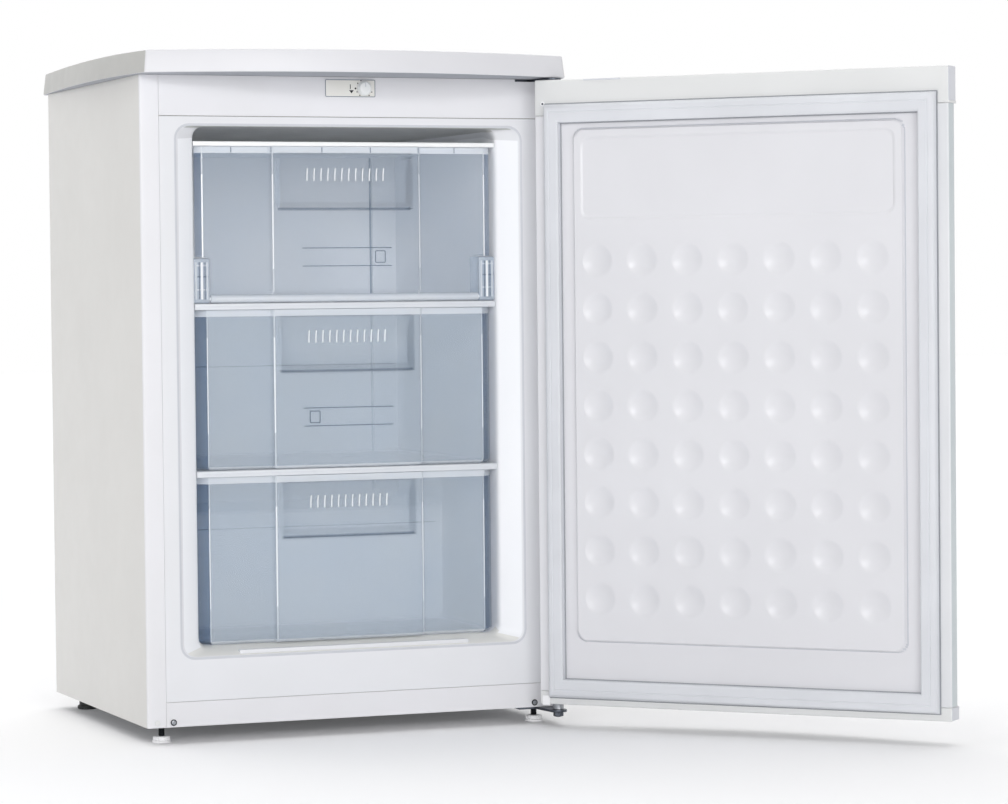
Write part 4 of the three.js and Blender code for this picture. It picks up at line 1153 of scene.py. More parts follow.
def settle(
    piece: Piece, finishes: Sequence[Finish], node: str, space: Matrix | None = None, angle: float = 35
) -> Piece:
    """Finishes a new piece: it is shaded, put in its place, dressed and hung on its body.

    Args:
        piece: The piece, in millimetres.
        finishes: Its finishes, in the order of its faces' numbers.
        node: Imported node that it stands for.
        space: Matrix of its millimetres; the cabinet's by default.
        angle: Edges sharper than this, in degrees, stay crisp.

    Returns:
        The piece.
    """
    shade(piece, angle)
    piece.data.transform(space or CABINET)
    if not piece.data.materials:
        give_finishes(piece, finishes)
    body = BODY_OF_NODE[node]
    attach(piece, body)
    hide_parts(node)
    LOG.info("%s: %d faces, %s, on %s", piece.name, len(piece.data.polygons), finishes[0].name, body)
    return piece


def redress(node: str, finish: Finish) -> None:
    """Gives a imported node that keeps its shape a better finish.

    Args:
        node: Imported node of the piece.
        finish: Its new finish.
    """
    piece = frame["nodes"][node]
    piece.data.materials.clear()
    piece.data.materials.append(finish.material())
    LOG.info("%s: packed shape kept, %s", node, finish.name)


# ---------------------------------------------------------------- cabinet shell


@dataclass
class Shell:
    """Folded steel sides and rails under a bowed worktop."""

    side: Extent = measured("right_side_panel")
    top: Extent = measured("worktop")
    rear_fold: float = 14.8
    fold_radius: float = 3.0
    corner_reach: float = 36.0
    side_bulge: float = 16.0
    corner_radius: float = 5.0
    front_inset: float = -3.0
    edge_round: float = 3.0
    draft: float = 3.0

    def build(self) -> None:
        """Builds and dresses the shell."""
        self.worktop()
        for name, hand in (("left", -1), ("right", 1)):
            self.side_panel(name, hand)
        for node in ("front_top_rail", "front_bottom_rail", "back_panel"):
            redress(node, WHITE_PAINT)
        redress("base_pan", ZINC_STEEL)
        redress("insulation_foam", RIGID_FOAM)

    def worktop_plan(self) -> list[Flat]:
        """Draws the worktop's plan: a bowed front, swelling sides and a straight rear.

        Returns:
            The closed outline in X and Y.
        """
        r = self.corner_radius
        front_x = self.side.right - self.front_inset
        rear_x = front_x + self.front_inset + 1
        front_y = -self.corner_reach
        rear_y = self.top.rear
        bow = front_y + 2 * (self.top.front - front_y)
        swell = front_x + 2 * self.side_bulge
        middle = self.side.rear / 4
        right = curve((front_x - r, front_y), (front_x, front_y + r / 4), (front_x + 1, front_y + r), 6)
        right += curve((front_x + 1, front_y + r), (swell, middle), (rear_x, rear_y - r), 36)[1:]
        right += curve((rear_x, rear_y - r), (rear_x - 1, rear_y), (front_x - r, rear_y), 8)[1:]
        left = [(-x, y) for x, y in reversed(right)]
        front = curve((-front_x + r, front_y), (0, bow), (front_x - r, front_y), 64)
        return front[:-1] + right + left[:-1]

    def worktop(self) -> Piece:
        """Builds the worktop with its rounded edges.

        Returns:
            The worktop.
        """
        piece = slab("worktop_board", self.worktop_plan(), self.top.low, self.top.high)
        round_edges(piece, self.edge_round, 6, 50)
        for vertex in piece.data.vertices:
            rise = (vertex.co.z - self.top.low) / (self.top.high - self.top.low)
            share = 1 - rise * self.draft / self.top.right
            vertex.co.x *= share
            vertex.co.y = self.top.centre_y + (vertex.co.y - self.top.centre_y) * share
        # The worktop's side faces take the darker grey of painted shade.
        tint_faces(piece, 1, lambda spot, normal: abs(normal.x) > 0.75 and abs(spot.x) > self.side.left)
        # The underside takes the grey of painted shade.
        tint_faces(piece, 2, lambda spot, normal: normal.z < -0.8)
        return settle(piece, [WHITE_TOP, TOP_SIDE_PAINTED_SHADE, TOP_UNDERSIDE_PAINTED_SHADE], "worktop", angle=30)

    def side_panel(self, name: str, hand: int) -> Piece:
        """Folds one side from sheet.

        Args:
            name: Left or right.
            hand: Which side it is on, -1 or 1.

        Returns:
            The panel.
        """
        path = [
            (hand * self.side.left, 0.0),
            (hand * self.side.right, 0.0),
            (hand * self.side.right, self.side.rear),
            (hand * (self.side.right - self.rear_fold), self.side.rear),
        ]
        outline = strip(rounded_path(path, self.fold_radius, 8), hand * SHEET)
        piece = slab(f"{name}_side_sheet", outline, self.side.low, self.side.high)
        if hand > 0:
            hinge = measure("upper_hinge_plate")
            notch = Extent(
                hinge.left - SEAT, hinge.right + SEAT, -1, self.fold_radius + SHEET,
                hinge.low - SEAT, self.side.high + 1,
            )
            carve(piece, block("notch_tool", notch))
        # The outer side faces take the darker paint of painted shade.
        tint_faces(piece, 1, lambda spot, normal: abs(normal.x) > 0.9 and spot.y > self.fold_radius)
        return settle(piece, [WHITE_PAINT, WHITE_SIDE_PAINTED_SHADE], f"{name}_side_panel", angle=25)


@dataclass
class Liner:
    """Moulded inner lining, from its front flange to the step over the compressor bay."""

    room: Extent = measured("inner_liner")
    shelf: Extent = measured("upper_evaporator_shelf")
    wall: float = 2.0
    mouth_half: float = 226.4
    mouth_low: float = 105.7
    ceiling_drop: float = 11.9
    mouth_radius: float = 16.0
    inner_radius: float = 14.0
    mouth_depth: float = 19.0
    cavity_half: float = 200.0
    cavity_radius: float = 9.0
    sill_depth: float = 30.0
    floor: float = 117.0
    lower_rear: float = 226.0
    step: float = 270.0
    ledge: float = 30.0
    ledge_drop: float = 2.4
    ledge_gap: float = 0.4
    ledge_reach: float = 4.0
    duct_left: float = 164.0
    duct_depth: float = 5.0
    duct_low: float = 14.0
    duct_high: float = 24.0
    seam_width: float = 2.0
    lip_half: float = 152.0
    lip_low: float = 1.5
    lip_high: float = 6.5
    lip_depths: Flat = (3.5, 14.0)

    def build(self) -> None:
        """Builds the lining with its ledges, its drain lip and its rear channels."""
        high = self.room.high - self.ceiling_drop
        rear = self.room.rear - self.wall
        slope_foot = self.mouth_low + (self.floor - self.mouth_low) * self.mouth_depth / self.sill_depth
        mouth = (self.mouth_half, self.mouth_low, high, self.mouth_radius)
        cavity = (self.cavity_half, self.floor, high, self.cavity_radius)
        low, top = self.room.low, self.room.high
        rows = [
            (self.wall, self.room.right, low, top, 0.8),
            (0.4, self.room.right, low, top, 0.8),
            (0.0, self.room.right - 0.4, low + 0.4, top - 0.4, 0.6),
            (0.0, self.room.right - 1.4, low + 1.4, top - 1.4, 0.6),
            (0.0, *self.grown(mouth, 5.0)),
            (0.0, *self.grown(mouth, 3.0)),
            (0.1, *self.grown(mouth, 1.6)),
            (0.5, *self.grown(mouth, 0.2)),
            (1.4, *self.on_slope(1.4, high)),
            (self.mouth_depth - 2.5, *self.on_slope(self.mouth_depth - 2.5, high)),
            (self.mouth_depth - 0.6, *self.on_slope(self.mouth_depth - 0.9, high)),
            (self.mouth_depth + 2, self.cavity_half, slope_foot + 0.8, high, self.inner_radius),
            (self.sill_depth, self.cavity_half, self.floor, high, self.inner_radius),
            (self.sill_depth + 30, *cavity),
            (self.lower_rear - 6, *cavity),
            (self.lower_rear, self.cavity_half, self.floor + 6, high, self.cavity_radius),
            (self.lower_rear, self.cavity_half, self.step - 4, high, self.cavity_radius),
            (self.lower_rear + 4, self.cavity_half, self.step, high, self.cavity_radius),
            (rear - 8, self.cavity_half, self.step, high, self.cavity_radius),
            (rear - 2, self.cavity_half - 2, self.step + 2, high - 2, self.cavity_radius),
            (rear, self.cavity_half - 8, self.step + 8, high - 8, self.cavity_radius),
        ]
        loops = [rounded_rectangle(-half, half, foot, head, r) for _, half, foot, head, r in rows]
        count = len(loops[0])

        def place(row: int, column: int) -> Spot:
            """Gives a spot of the lining's inner face."""
            x, z = loops[row][column % count]
            return (x, rows[row][0], z)

        piece = drawn_surface("lining", len(rows), count + 1, place, 0.01)
        close_end(piece, lambda spot: spot.y > rear - 0.01)
        aim(piece, (0, 1, 0))
        thicken(piece, self.wall, 1)
        # Inside walls below the top shelf take the near-white of painted light.
        tint_faces(piece, 2, lambda spot, normal: spot.y > 1 and spot.z < self.shelf.high)
        # Downward faces above the top shelf take the grey of painted shade.
        tint_faces(piece, 5, lambda spot, normal: spot.y > 1 and normal.z < -0.7 and spot.z > self.shelf.high)
        # Upward faces of the sill take the lighter white of painted light.
        tint_faces(piece, 1, lambda spot, normal: 1 < spot.y < self.sill_depth and normal.z > 0.5)
        # A thin band round the mouth takes the grey line of painted shade.
        tint_faces(piece, 3, lambda spot, _: 0.05 < spot.y < 0.6 and abs(spot.x) < self.mouth_half + 4)
        finishes = [LINER_PLASTIC, LINER_SILL_PAINTED_LIGHT, LINER_INSIDE_PAINTED_LIGHT, LINER_SHADE_LINE_AND_INK, LINER_SEAM_PAINTED_SHADE, LINER_CEILING_PAINTED_SHADE]
        parts = [piece, *self.ledges(), *self.channels(rear), self.drain_lip()]
        settle(joined("lining", parts, finishes), finishes, "inner_liner", angle=40)

    def on_slope(self, depth: float, high: float) -> tuple[float, float, float, float]:
        """Gives the lining's half width, foot, head and corner radius on the mouth's slope.

        Args:
            depth: Depth behind the front flange.
            high: Head of the lining.

        Returns:
            Half width, foot, head and corner radius.
        """
        share = depth / self.mouth_depth
        half = self.mouth_half + (self.cavity_half - self.mouth_half) * share
        foot = self.mouth_low + (self.floor - self.mouth_low) * depth / self.sill_depth
        return (half, foot, high, self.mouth_radius + (self.inner_radius - self.mouth_radius) * share)

    def grown(self, mouth: tuple[float, float, float, float], border: float) -> tuple[float, ...]:
        """Grows a rounded opening by a border."""
        half, low, high, radius = mouth
        return (half + border, low - border, high + border, radius + border)

    def ledges(self) -> list[Piece]:
        """Builds the ledges that carry the cooling shelves.

        Returns:
            The ledges.
        """
        pieces = []
        for level in ("upper", "middle", "lower"):
            rest = measure(f"{level}_evaporator_shelf")
            for hand in (-1, 1):
                for front in (rest.front + self.ledge, rest.rear - self.ledge):
                    outer = hand * (self.cavity_half + self.wall / 2)
                    inner = hand * (self.cavity_half - self.ledge_reach)
                    room = Extent(
                        min(outer, inner), max(outer, inner), front, front + self.ledge,
                        rest.low - self.ledge_drop, rest.low - self.ledge_gap,
                    )
                    pieces.append(round_edges(block("ledge", room, 1.2), 0.5, 2))
        return pieces

    def channels(self, rear: float) -> list[Piece]:
        """Builds the corner duct that carries the tubes up the rear wall in painted light, and a dark strip of
        painted shade beside it.

        Args:
            rear: Depth of the rear wall.

        Returns:
            The duct and its seam.
        """
        low, high = self.step + self.duct_low, self.room.high - self.duct_high
        duct = Extent(self.duct_left, self.cavity_half - 1, rear - self.duct_depth, rear + 1, low, high)
        right = self.duct_left - 0.2
        seam = Extent(right - self.seam_width, right, rear - 1.2, rear + 1, low, high)
        # The duct takes the near-white of painted light, the strip beside it the dark grey of painted shade.
        return [tint(round_edges(block("duct", duct, 2.4), 1.2, 3), 2), tint(block("seam", seam), 4)]

    def drain_lip(self) -> Piece:
        """Builds the low lip of the drain along the sill.

        Returns:
            The lip.
        """
        low, high = self.mouth_low + self.lip_low, self.mouth_low + self.lip_high
        outline = rounded_rectangle(-self.lip_half, self.lip_half, low, high, 2.4, 6)
        return round_edges(slab("drain_lip", outline, *self.lip_depths, Axis.DEEP), 0.9, 3)


def close_end(piece: Piece, wanted: Callable[[Vector], bool]) -> Piece:
    """Closes an open end with one face through the points that a test picks.

    Args:
        piece: The piece.
        wanted: Test of a point.

    Returns:
        The closed piece.
    """
    with editing(piece):
        bpy.ops.mesh.select_all(action="DESELECT")
        bpy.ops.mesh.select_mode(type="VERT")
        bpy.ops.object.mode_set(mode="OBJECT")
        for vertex in piece.data.vertices:
            vertex.select = wanted(vertex.co)
        bpy.ops.object.mode_set(mode="EDIT")
        bpy.ops.mesh.edge_face_add()
        bpy.ops.mesh.select_all(action="SELECT")
        bpy.ops.mesh.normals_make_consistent(inside=False)
    return piece


def aim(piece: Piece, ahead: Spot) -> Piece:
    """Turns an open shell so that its furthest face along a direction looks that way.

    Args:
        piece: The piece.
        ahead: Direction that it has to look in.

    Returns:
        The piece.
    """
    way = Vector(ahead)
    far = max(piece.data.polygons, key=lambda face: face.center.dot(way))
    if far.normal.dot(way) < 0:
        piece.data.flip_normals()
    return piece


@dataclass
class Shelves:
    """Cooling shelves of bent tube, each behind a white front trim."""

    edge: float = 1.6
    side_reach: float = 3.2

    def build(self) -> None:
        """Builds the trims and dresses the shelves."""
        for level in ("upper", "middle", "lower"):
            room = measure(f"{level}_shelf_trim")
            outline = rounded_rectangle(room.front, room.rear, room.low, room.high, self.edge, 5)
            reach = self.side_reach
            trim = slab(f"{level}_trim_bar", outline, room.left - reach, room.right + reach, Axis.ACROSS)
            round_edges(trim, 0.5, 2)
            groove = Extent(
                room.left + 6, room.right - 6, room.front - 1, room.front + 0.5,
                room.centre_z - 0.4, room.centre_z + 0.4,
            )
            carve(trim, block("groove_tool", groove))
            # The upper trim takes the brighter white of painted light, the lower ones the greyer white of painted
            # shade.
            settle(trim, [TRIM_PAINTED_LIGHT if level == "upper" else TRIM_PAINTED_SHADE], f"{level}_shelf_trim")
            redress(f"{level}_evaporator_shelf", SHELF_ENAMEL)


# ---------------------------------------------------------------- clear fronts


@dataclass
class ClearFront:
    """What the flap and both drawers share: a stepped front with a finger scoop under its rim."""

    node: str
    plane: float = 26.0
    wall: float = 2.5
    centre_half: float = 97.0
    centre_step: float = 6.5
    rim: float = 8.0
    scoop_half: float = 88.0
    scoop_depth: float = 19.0
    scoop_height: float = 70.0
    scoop_shoulder: float = 30.0
    scoop_heel: float = 10.0
    rib_count: int = 12
    rib_pitch: float = 9.2
    rib_start: float = -46.0
    rib_drop: float = 18.5
    rib_length: float = 15.5
    rib_half: float = 0.7
    rib_proud: float = 1.1
    rib_sunk: float = 0.6
    turn_at: float = 300.0
    facet_depth: float = 16.0
    mark_half: float = 59.0
    mark_z: float = 0.0
    mark_gap: float = 22.5
    mark_line: float = 0.5
    badge_x: float = 0.0
    badge_half: float = 7.0
    badge_room: float = 3.5
    badge_line: float = 1.0
    # Middle and half height of the painted glints up the ridges, as shares of the height.
    painted_glint_middle: float = 0.52
    painted_glint_share: float = 0.3

    def __post_init__(self) -> None:
        """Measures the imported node."""
        self.room = measure(self.node)
        self.rim_foot = self.room.high - self.rim

    def front_at(self, x: float) -> float:
        """Gives the depth of the front's outer face beside its scoop.

        Args:
            x: Place across.

        Returns:
            The depth.
        """
        ramp = blend_step(abs(x), self.centre_half, self.centre_half + self.centre_step / 2)
        turned_back = max(0.0, abs(x) - self.turn_at) * 0.6
        return self.plane - self.centre_step * (1 - ramp) + turned_back

    def scoop_at(self, x: float, z: float) -> float:
        """Gives how deep the scoop is at a spot of the front.

        Args:
            x: Place across the front.
            z: Height.

        Returns:
            Depth behind the front's outer face.
        """
        drop = self.rim_foot - z
        if drop <= 0 or drop >= self.scoop_height:
            return 0.0
        lip = self.scoop_heel / 2
        depth = lip * blend_step(drop, 0, 1.5)
        depth += (self.scoop_depth - lip) * math.sin(math.pi / 2 * min(drop / self.scoop_shoulder, 1))
        foot = self.scoop_height - self.scoop_heel
        depth -= (self.scoop_depth - self.scoop_heel) * blend_step(drop, foot, self.scoop_height - 1)
        depth *= 1 - blend_step(drop, self.scoop_height - 1, self.scoop_height)
        return depth * (1 - blend_step(abs(x), self.scoop_half - 3, self.scoop_half))

    def widths(self, half: float) -> list[float]:
        """Lists the stations across the front.

        Args:
            half: Half width of the front.

        Returns:
            The places, from left to right.
        """
        ramp = self.centre_half + self.centre_step / 2
        stops = [0, self.scoop_half - 3, self.scoop_half, self.centre_half - 0.6, ramp, half - 1, half]
        edge = [self.scoop_half - 2, self.scoop_half - 1, self.centre_half + 0.8, self.centre_half + 1.8]
        edge += [spot for spot in (self.turn_at - 1.1, self.turn_at, self.turn_at + 0.7) if spot < half]
        edge += [half - 1.1] if half < self.turn_at else []
        right = sorted(set(stations(stops, 6.5) + edge))
        return [-x for x in reversed(right[1:])] + right

    def heights(self, low: float) -> list[float]:
        """Lists the stations up the front.

        Args:
            low: Height of the first station.

        Returns:
            The heights, from the foot up.
        """
        top = self.rim_foot
        foot = top - self.scoop_height
        stops = [low, foot, foot + 1, foot + self.scoop_heel, top - self.scoop_shoulder, top - 1.5, top]
        return stations(stops, 3.6) + [self.room.high]

    def skin_at(self, x: float, z: float) -> float:
        """Gives the depth of the outer face, scoop included."""
        return self.front_at(x) + self.scoop_at(x, z)

    def ribs(self) -> list[Piece]:
        """Builds the row of grip ribs on the scoop's shoulder.

        Returns:
            The ribs.
        """
        pieces = []
        high = self.rim_foot - self.rib_drop
        low = high - self.rib_length
        levels = stations([low, high], 3)
        for index in range(self.rib_count):
            x = self.rib_start + index * self.rib_pitch
            face = [(self.skin_at(x, z) - self.rib_proud, z) for z in levels]
            back = [(self.skin_at(x, z) + self.rib_sunk, z) for z in reversed(levels)]
            rib = slab("rib", face + back, x - self.rib_half, x + self.rib_half, Axis.ACROSS)
            pieces.append(tint(rib, 3))
        return pieces

    def marks(self) -> list[Piece]:
        """Builds the two fine lines on the front and the small frame between them.

        Returns:
            The marks, if it has any.
        """
        if not self.mark_z:
            return []
        front = self.front_at(0)
        depths = (front - 0.25, front + 0.4)
        pieces = []
        for z in (self.mark_z, self.mark_z + self.mark_gap):
            room = Extent(-self.mark_half, self.mark_half, *depths, z - self.mark_line, z + self.mark_line)
            pieces.append(tint(block("mark", room), 2))
        low, high = self.mark_z + self.badge_room, self.mark_z + self.mark_gap - self.badge_room
        line, half = self.badge_line, self.badge_half
        outer = rounded_rectangle(self.badge_x - half, self.badge_x + half, low, high, 1.5, 3)
        half -= line
        inner = rounded_rectangle(self.badge_x - half, self.badge_x + half, low + line, high - line, 0.8, 3)
        badge = slab("badge", outer, *depths, Axis.DEEP)
        pieces.append(tint(carve(badge, slab("badge_tool", inner, front - 1, front + 1, Axis.DEEP)), 2))
        return pieces

    def paint_glint_and_shade(self, piece: Piece, corner: float) -> None:
        """Paints highlights on the ridges up the front and painted shade on its corners.

        Args:
            piece: The moulding.
            corner: Place across the front where its corner turns back.
        """
        tall = self.room.high - self.room.low
        middle = self.room.low + self.painted_glint_middle * tall
        painted_glint_half = self.painted_glint_share * tall

        def is_front(spot: Vector) -> bool:
            """Tells whether a spot is on the front, below its rim."""
            return spot.y < self.plane + self.facet_depth and spot.z < self.rim_foot

        def on_ridge(spot: Vector, normal: Vector) -> bool:
            """Tells whether a spot is on the outer side of a ridge, at the step or at the corner.

            Args:
                spot: Middle of a face.
                normal: Direction that the face looks in.

            Returns:
                Whether it is.
            """
            across = abs(spot.x)
            at_step = self.centre_half - 0.7 < across < self.centre_half + 1.0
            at_corner = corner - 1.2 < across < corner + 0.8
            return is_front(spot) and normal.y < 0 and (at_step or at_corner)

        def on_painted_glint(spot: Vector, normal: Vector) -> bool:
            """Tells whether a spot is on the middle stretch of a ridge."""
            return on_ridge(spot, normal) and abs(spot.z - middle) < painted_glint_half

        # Corner facets take the dark blue of painted shade, the ridges the pale line of painted highlight, and
        # their middle stretch the white of painted glint.
        tint_faces(piece, 4, lambda spot, normal: is_front(spot) and abs(spot.x) > corner + 0.4)
        tint_faces(piece, 1, on_ridge)
        tint_faces(piece, 3, on_painted_glint)


@dataclass
class Drawer(ClearFront):
    """Clear tub that slides out of the cavity."""

    facet: float = 15.0
    floor_round: float = 6.0
    rear_round: float = 9.0

    def plan(self) -> list[Flat]:
        """Draws the tub's outer plan, counter-clockwise from the left end of its front.

        Returns:
            The closed outline in X and Y.
        """
        half = self.room.right
        right = [(half - self.facet, self.plane), (half - 1, self.plane + self.facet - 1.4)]
        bend = self.room.rear - self.rear_round
        right += [(half, y) for y in stations([self.plane + self.facet + 1, bend], 60)]
        right += arc((half - self.rear_round, bend), self.rear_round, 0, 90, 6)[1:]
        front = [(x, self.front_at(x)) for x in self.widths(half - self.facet)]
        return front[:-1] + right + [(-x, y) for x, y in reversed(right)][:-1]

    def shrunk(self, outline: Sequence[Flat], inset: float) -> list[Flat]:
        """Draws the plan smaller all round, about its middle, so that close stations never cross.

        Args:
            outline: The tub's plan, in X and Y.
            inset: How much smaller it gets at each side.

        Returns:
            The smaller plan.
        """
        middle = (self.plane + self.room.rear) / 2
        across = 1 - inset / self.room.right
        deep = 1 - inset / (self.room.rear - middle)
        return [(x * across, middle + (y - middle) * deep) for x, y in outline]

    def build(self) -> None:
        """Builds the tub with its scoop, its ribs and its pale rim, partly painted highlight."""
        outline = self.plan()
        low = self.room.low
        turns = [math.radians(18 * step) for step in range(5)]
        rows = [
            (low + self.floor_round * (1 - math.cos(turn)), self.floor_round * (1 - math.sin(turn)))
            for turn in turns
        ]
        rows += [(z, 0.0) for z in self.heights(low + self.floor_round)]
        rings = {inset: self.shrunk(outline, inset) for _, inset in rows}
        count = len(outline)

        def place(row: int, column: int) -> Spot:
            """Gives a spot of the tub's outer face.

            Args:
                row: Number of the row.
                column: Number of the point in its row.

            Returns:
                The spot.
            """
            z, inset = rows[row]
            x, y = rings[inset][column % count]
            scoop = self.scoop_at(x, z) if y < self.plane + 1 else 0.0
            return (x, y + scoop, z)

        piece = drawn_surface(f"{self.node}_tub", len(rows), count + 1, place, 0.01)
        close_end(piece, lambda spot: spot.z < low + 0.01)
        aim(piece, (0, -1, 0))
        thicken(piece, self.wall)
        front = self.plane + self.facet
        # The rim band and the floor edge take the paler clear finish, partly painted highlight.
        tint_faces(piece, 1, lambda spot, _: spot.z > self.rim_foot + 0.2 and spot.y < front)
        tint_faces(piece, 1, lambda spot, _: spot.z < low + self.wall + 1)
        foot = self.rim_foot - self.scoop_height
        # A thin band at the scoop's foot takes the dark line of painted shade.
        tint_faces(piece, 2, lambda spot, _: abs(spot.x) < self.scoop_half and foot < spot.z < foot + 1)
        self.paint_glint_and_shade(piece, self.room.right - self.facet)
        bead = self.rim_bead(outline)
        tint_faces(bead, 1, lambda spot, _: spot.y < front)
        parts = [piece, bead, *self.ribs(), *self.marks()]
        # The tubs take the whiter clear finish of painted light.
        settle(joined(f"{self.node}_tub", parts, TUB_SET), TUB_SET, self.node, angle=32)

    def rim_bead(self, outline: Sequence[Flat]) -> Piece:
        """Builds the flat bead that stiffens the rim, inside the tub's wall.

        Args:
            outline: The tub's plan, in X and Y.

        Returns:
            The bead.
        """
        inner = beside(outline, self.wall + 3.5, True)
        edge = beside(outline, self.wall - 0.2, True)
        count = len(outline)
        section = [(edge, 0.0), (inner, 0.0), (inner, -1.6), (edge, -1.6), (edge, 0.0)]

        def place(row: int, column: int) -> Spot:
            """Gives a spot of the bead.

            Args:
                row: Number of the row.
                column: Number of the point in its row.

            Returns:
                The spot.
            """
            ring, drop = section[row]
            x, y = ring[column % count]
            return (x, y, self.room.high + drop)

        return drawn_surface("rim_bead", len(section), count + 1, place, 0.01)


@dataclass
class Flap(ClearFront):
    """Clear flap that folds down about the round edge at its foot."""

    barrel_radius: float = 5.0
    barrel_offset: float = 0.5
    centre_rise: float = 8.5
    narrow_half: float = 177.5
    side_reach: float = 3.5
    bracket_top: float = 1.0
    tick_places: tuple[float, ...] = (-149.0, -98.0, -32.0, 32.0, 96.0, 147.0)
    tick_half: float = 0.6

    def build(self) -> None:
        """Builds the flap with its scoop, ribs, ledge and pivot edge."""
        axis_z = self.room.low + self.barrel_radius
        foot = axis_z + self.centre_rise
        wide_foot = measure("left_flap_bracket").high + self.bracket_top
        levels = self.heights(foot)
        narrow = [z for z in levels if z < wide_foot] + [wide_foot - 0.1]
        wide = [wide_foot] + [z for z in levels if z > wide_foot]
        rows = [(axis_z, False, True), (foot - 0.2, False, True)]
        rows += [(z, False, False) for z in narrow]
        rows += [(z, True, False) for z in wide]
        across = self.widths(self.room.right + self.side_reach)

        def place(row: int, column: int) -> Spot:
            """Gives a spot of the flap's outer face.

            Args:
                row: Number of the row.
                column: Number of the point in its row.

            Returns:
                The spot.
            """
            z, is_wide, is_apron = rows[row]
            x = across[column]
            if not is_wide:
                x = min(max(x, -self.narrow_half), self.narrow_half)
            return (x, self.plane if is_apron else self.skin_at(x, z), z)

        piece = drawn_surface("flap_panel", len(rows), len(across), place, 0.01)
        aim(piece, (0, -1, 0))
        thicken(piece, self.wall)
        # The flap's rim band takes the paler clear finish, partly painted highlight.
        tint_faces(piece, 1, lambda spot, _: spot.z > self.rim_foot + 0.2)
        scoop_foot = self.rim_foot - self.scoop_height
        # A thin band at the scoop's foot takes the dark line of painted shade.
        tint_faces(
            piece, 2, lambda spot, _: abs(spot.x) < self.scoop_half and scoop_foot < spot.z < scoop_foot + 1
        )
        self.paint_glint_and_shade(piece, self.turn_at)
        barrel = turned("barrel", self.barrel_profile(), 24)
        moved(barrel, (-self.narrow_half, self.plane + self.barrel_offset, axis_z), Axis.ACROSS)
        # The pivot edge takes the paler clear finish of painted highlight too.
        parts = [piece, tint(barrel, 1), *self.ribs(), *self.marks(), *self.ticks()]
        settle(joined("flap_panel", parts, CLEAR_SET), CLEAR_SET, self.node, angle=32)

    def barrel_profile(self) -> list[Flat]:
        """Gives the pivot edge's profile, with softened ends.

        Returns:
            Radius and height of each ring.
        """
        r, length = self.barrel_radius, 2 * self.narrow_half
        start = [(r - 1, 0), (r - 0.3, 0.3), (r, 1)]
        return start + [(radius, length - height) for radius, height in reversed(start)]

    def ticks(self) -> list[Piece]:
        """Builds the short upright lines across the rim.

        Returns:
            The lines.
        """
        pieces = []
        for x in self.tick_places:
            front = self.front_at(x)
            half = self.tick_half
            ends = (self.rim_foot + half, self.room.high - half)
            pieces.append(tint(block("tick", Extent(x - half, x + half, front - 0.2, front + 0.3, *ends)), 2))
        return pieces


@dataclass
class FlapBrackets:
    """Clear hinge blocks at both ends of the flap."""

    corner: float = 3.0
    inner: float = 178.6
    rib_rise: float = 1.0
    axis_depth: float = 26.5
    axis_rise: float = 5.0
    pin_length: float = 6.6
    # Each upright and cross wall picks a finish by number: 1 white of painted glint, 2 dark line of painted shade,
    # 3 pale painted highlight.
    uprights: tuple[tuple[float, float, int], ...] = (
        (3.0, 1.1, 3), (7.2, 0.6, 2), (10.6, 1.3, 1), (14.6, 0.5, 2), (17.4, 1.0, 3)
    )
    walls: tuple[tuple[float, float, int], ...] = ((17.0, 0.8, 3), (33.0, 0.6, 2), (47.0, 1.0, 3))

    def build(self) -> None:
        """Builds both brackets."""
        for name in ("left_flap_bracket", "right_flap_bracket"):
            self.bracket(name)

    def bracket(self, node: str) -> None:
        """Builds one bracket with its upright ribs, its cross walls and its pivot pin.

        Args:
            node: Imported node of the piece.
        """
        room = measure(node)
        hand = 1 if room.centre_x > 0 else -1
        ends = sorted((hand * self.inner, room.right if hand > 0 else room.left))
        outline = rounded_rectangle(room.front, room.rear, room.low, room.high, self.corner, 5)
        parts = [round_edges(slab(f"{node}_block", outline, *ends, Axis.ACROSS), 0.9, 3)]
        front = room.front - self.rib_rise
        for place, half, index in self.uprights:
            x = ends[0] + place
            rib = Extent(x - half, x + half, front, room.front + 1, room.low + 5, room.high - 5)
            parts.append(tint(round_edges(block("bracket_rib", rib, 0.3), 0.3, 2), index))
        for rise, half, index in self.walls:
            z = room.low + rise
            wall = Extent(ends[0] + 2, ends[1] - 2, front + 0.3, room.front + 1, z - half, z + half)
            parts.append(tint(block("bracket_wall", wall), index))
        pin = turned("pin", [(1.7, 0), (2.2, 0.5), (2.2, 6), (2.2, self.pin_length)], 16)
        start = room.left if hand > 0 else room.right - self.pin_length
        axis_z = measure("flap").low + self.axis_rise
        # The pin takes the white of painted glint.
        parts.append(tint(moved(pin, (start, self.axis_depth, axis_z), Axis.ACROSS), 1))
        finishes = [CLEAR_BLOCK, CLEAR_PAINTED_GLINT, CLEAR_SHADE_LINE_AND_PRINT, CLEAR_RIM_AND_HIGHLIGHT]
        settle(joined(f"{node}_block", parts, finishes), finishes, node)


# ---------------------------------------------------------------- door


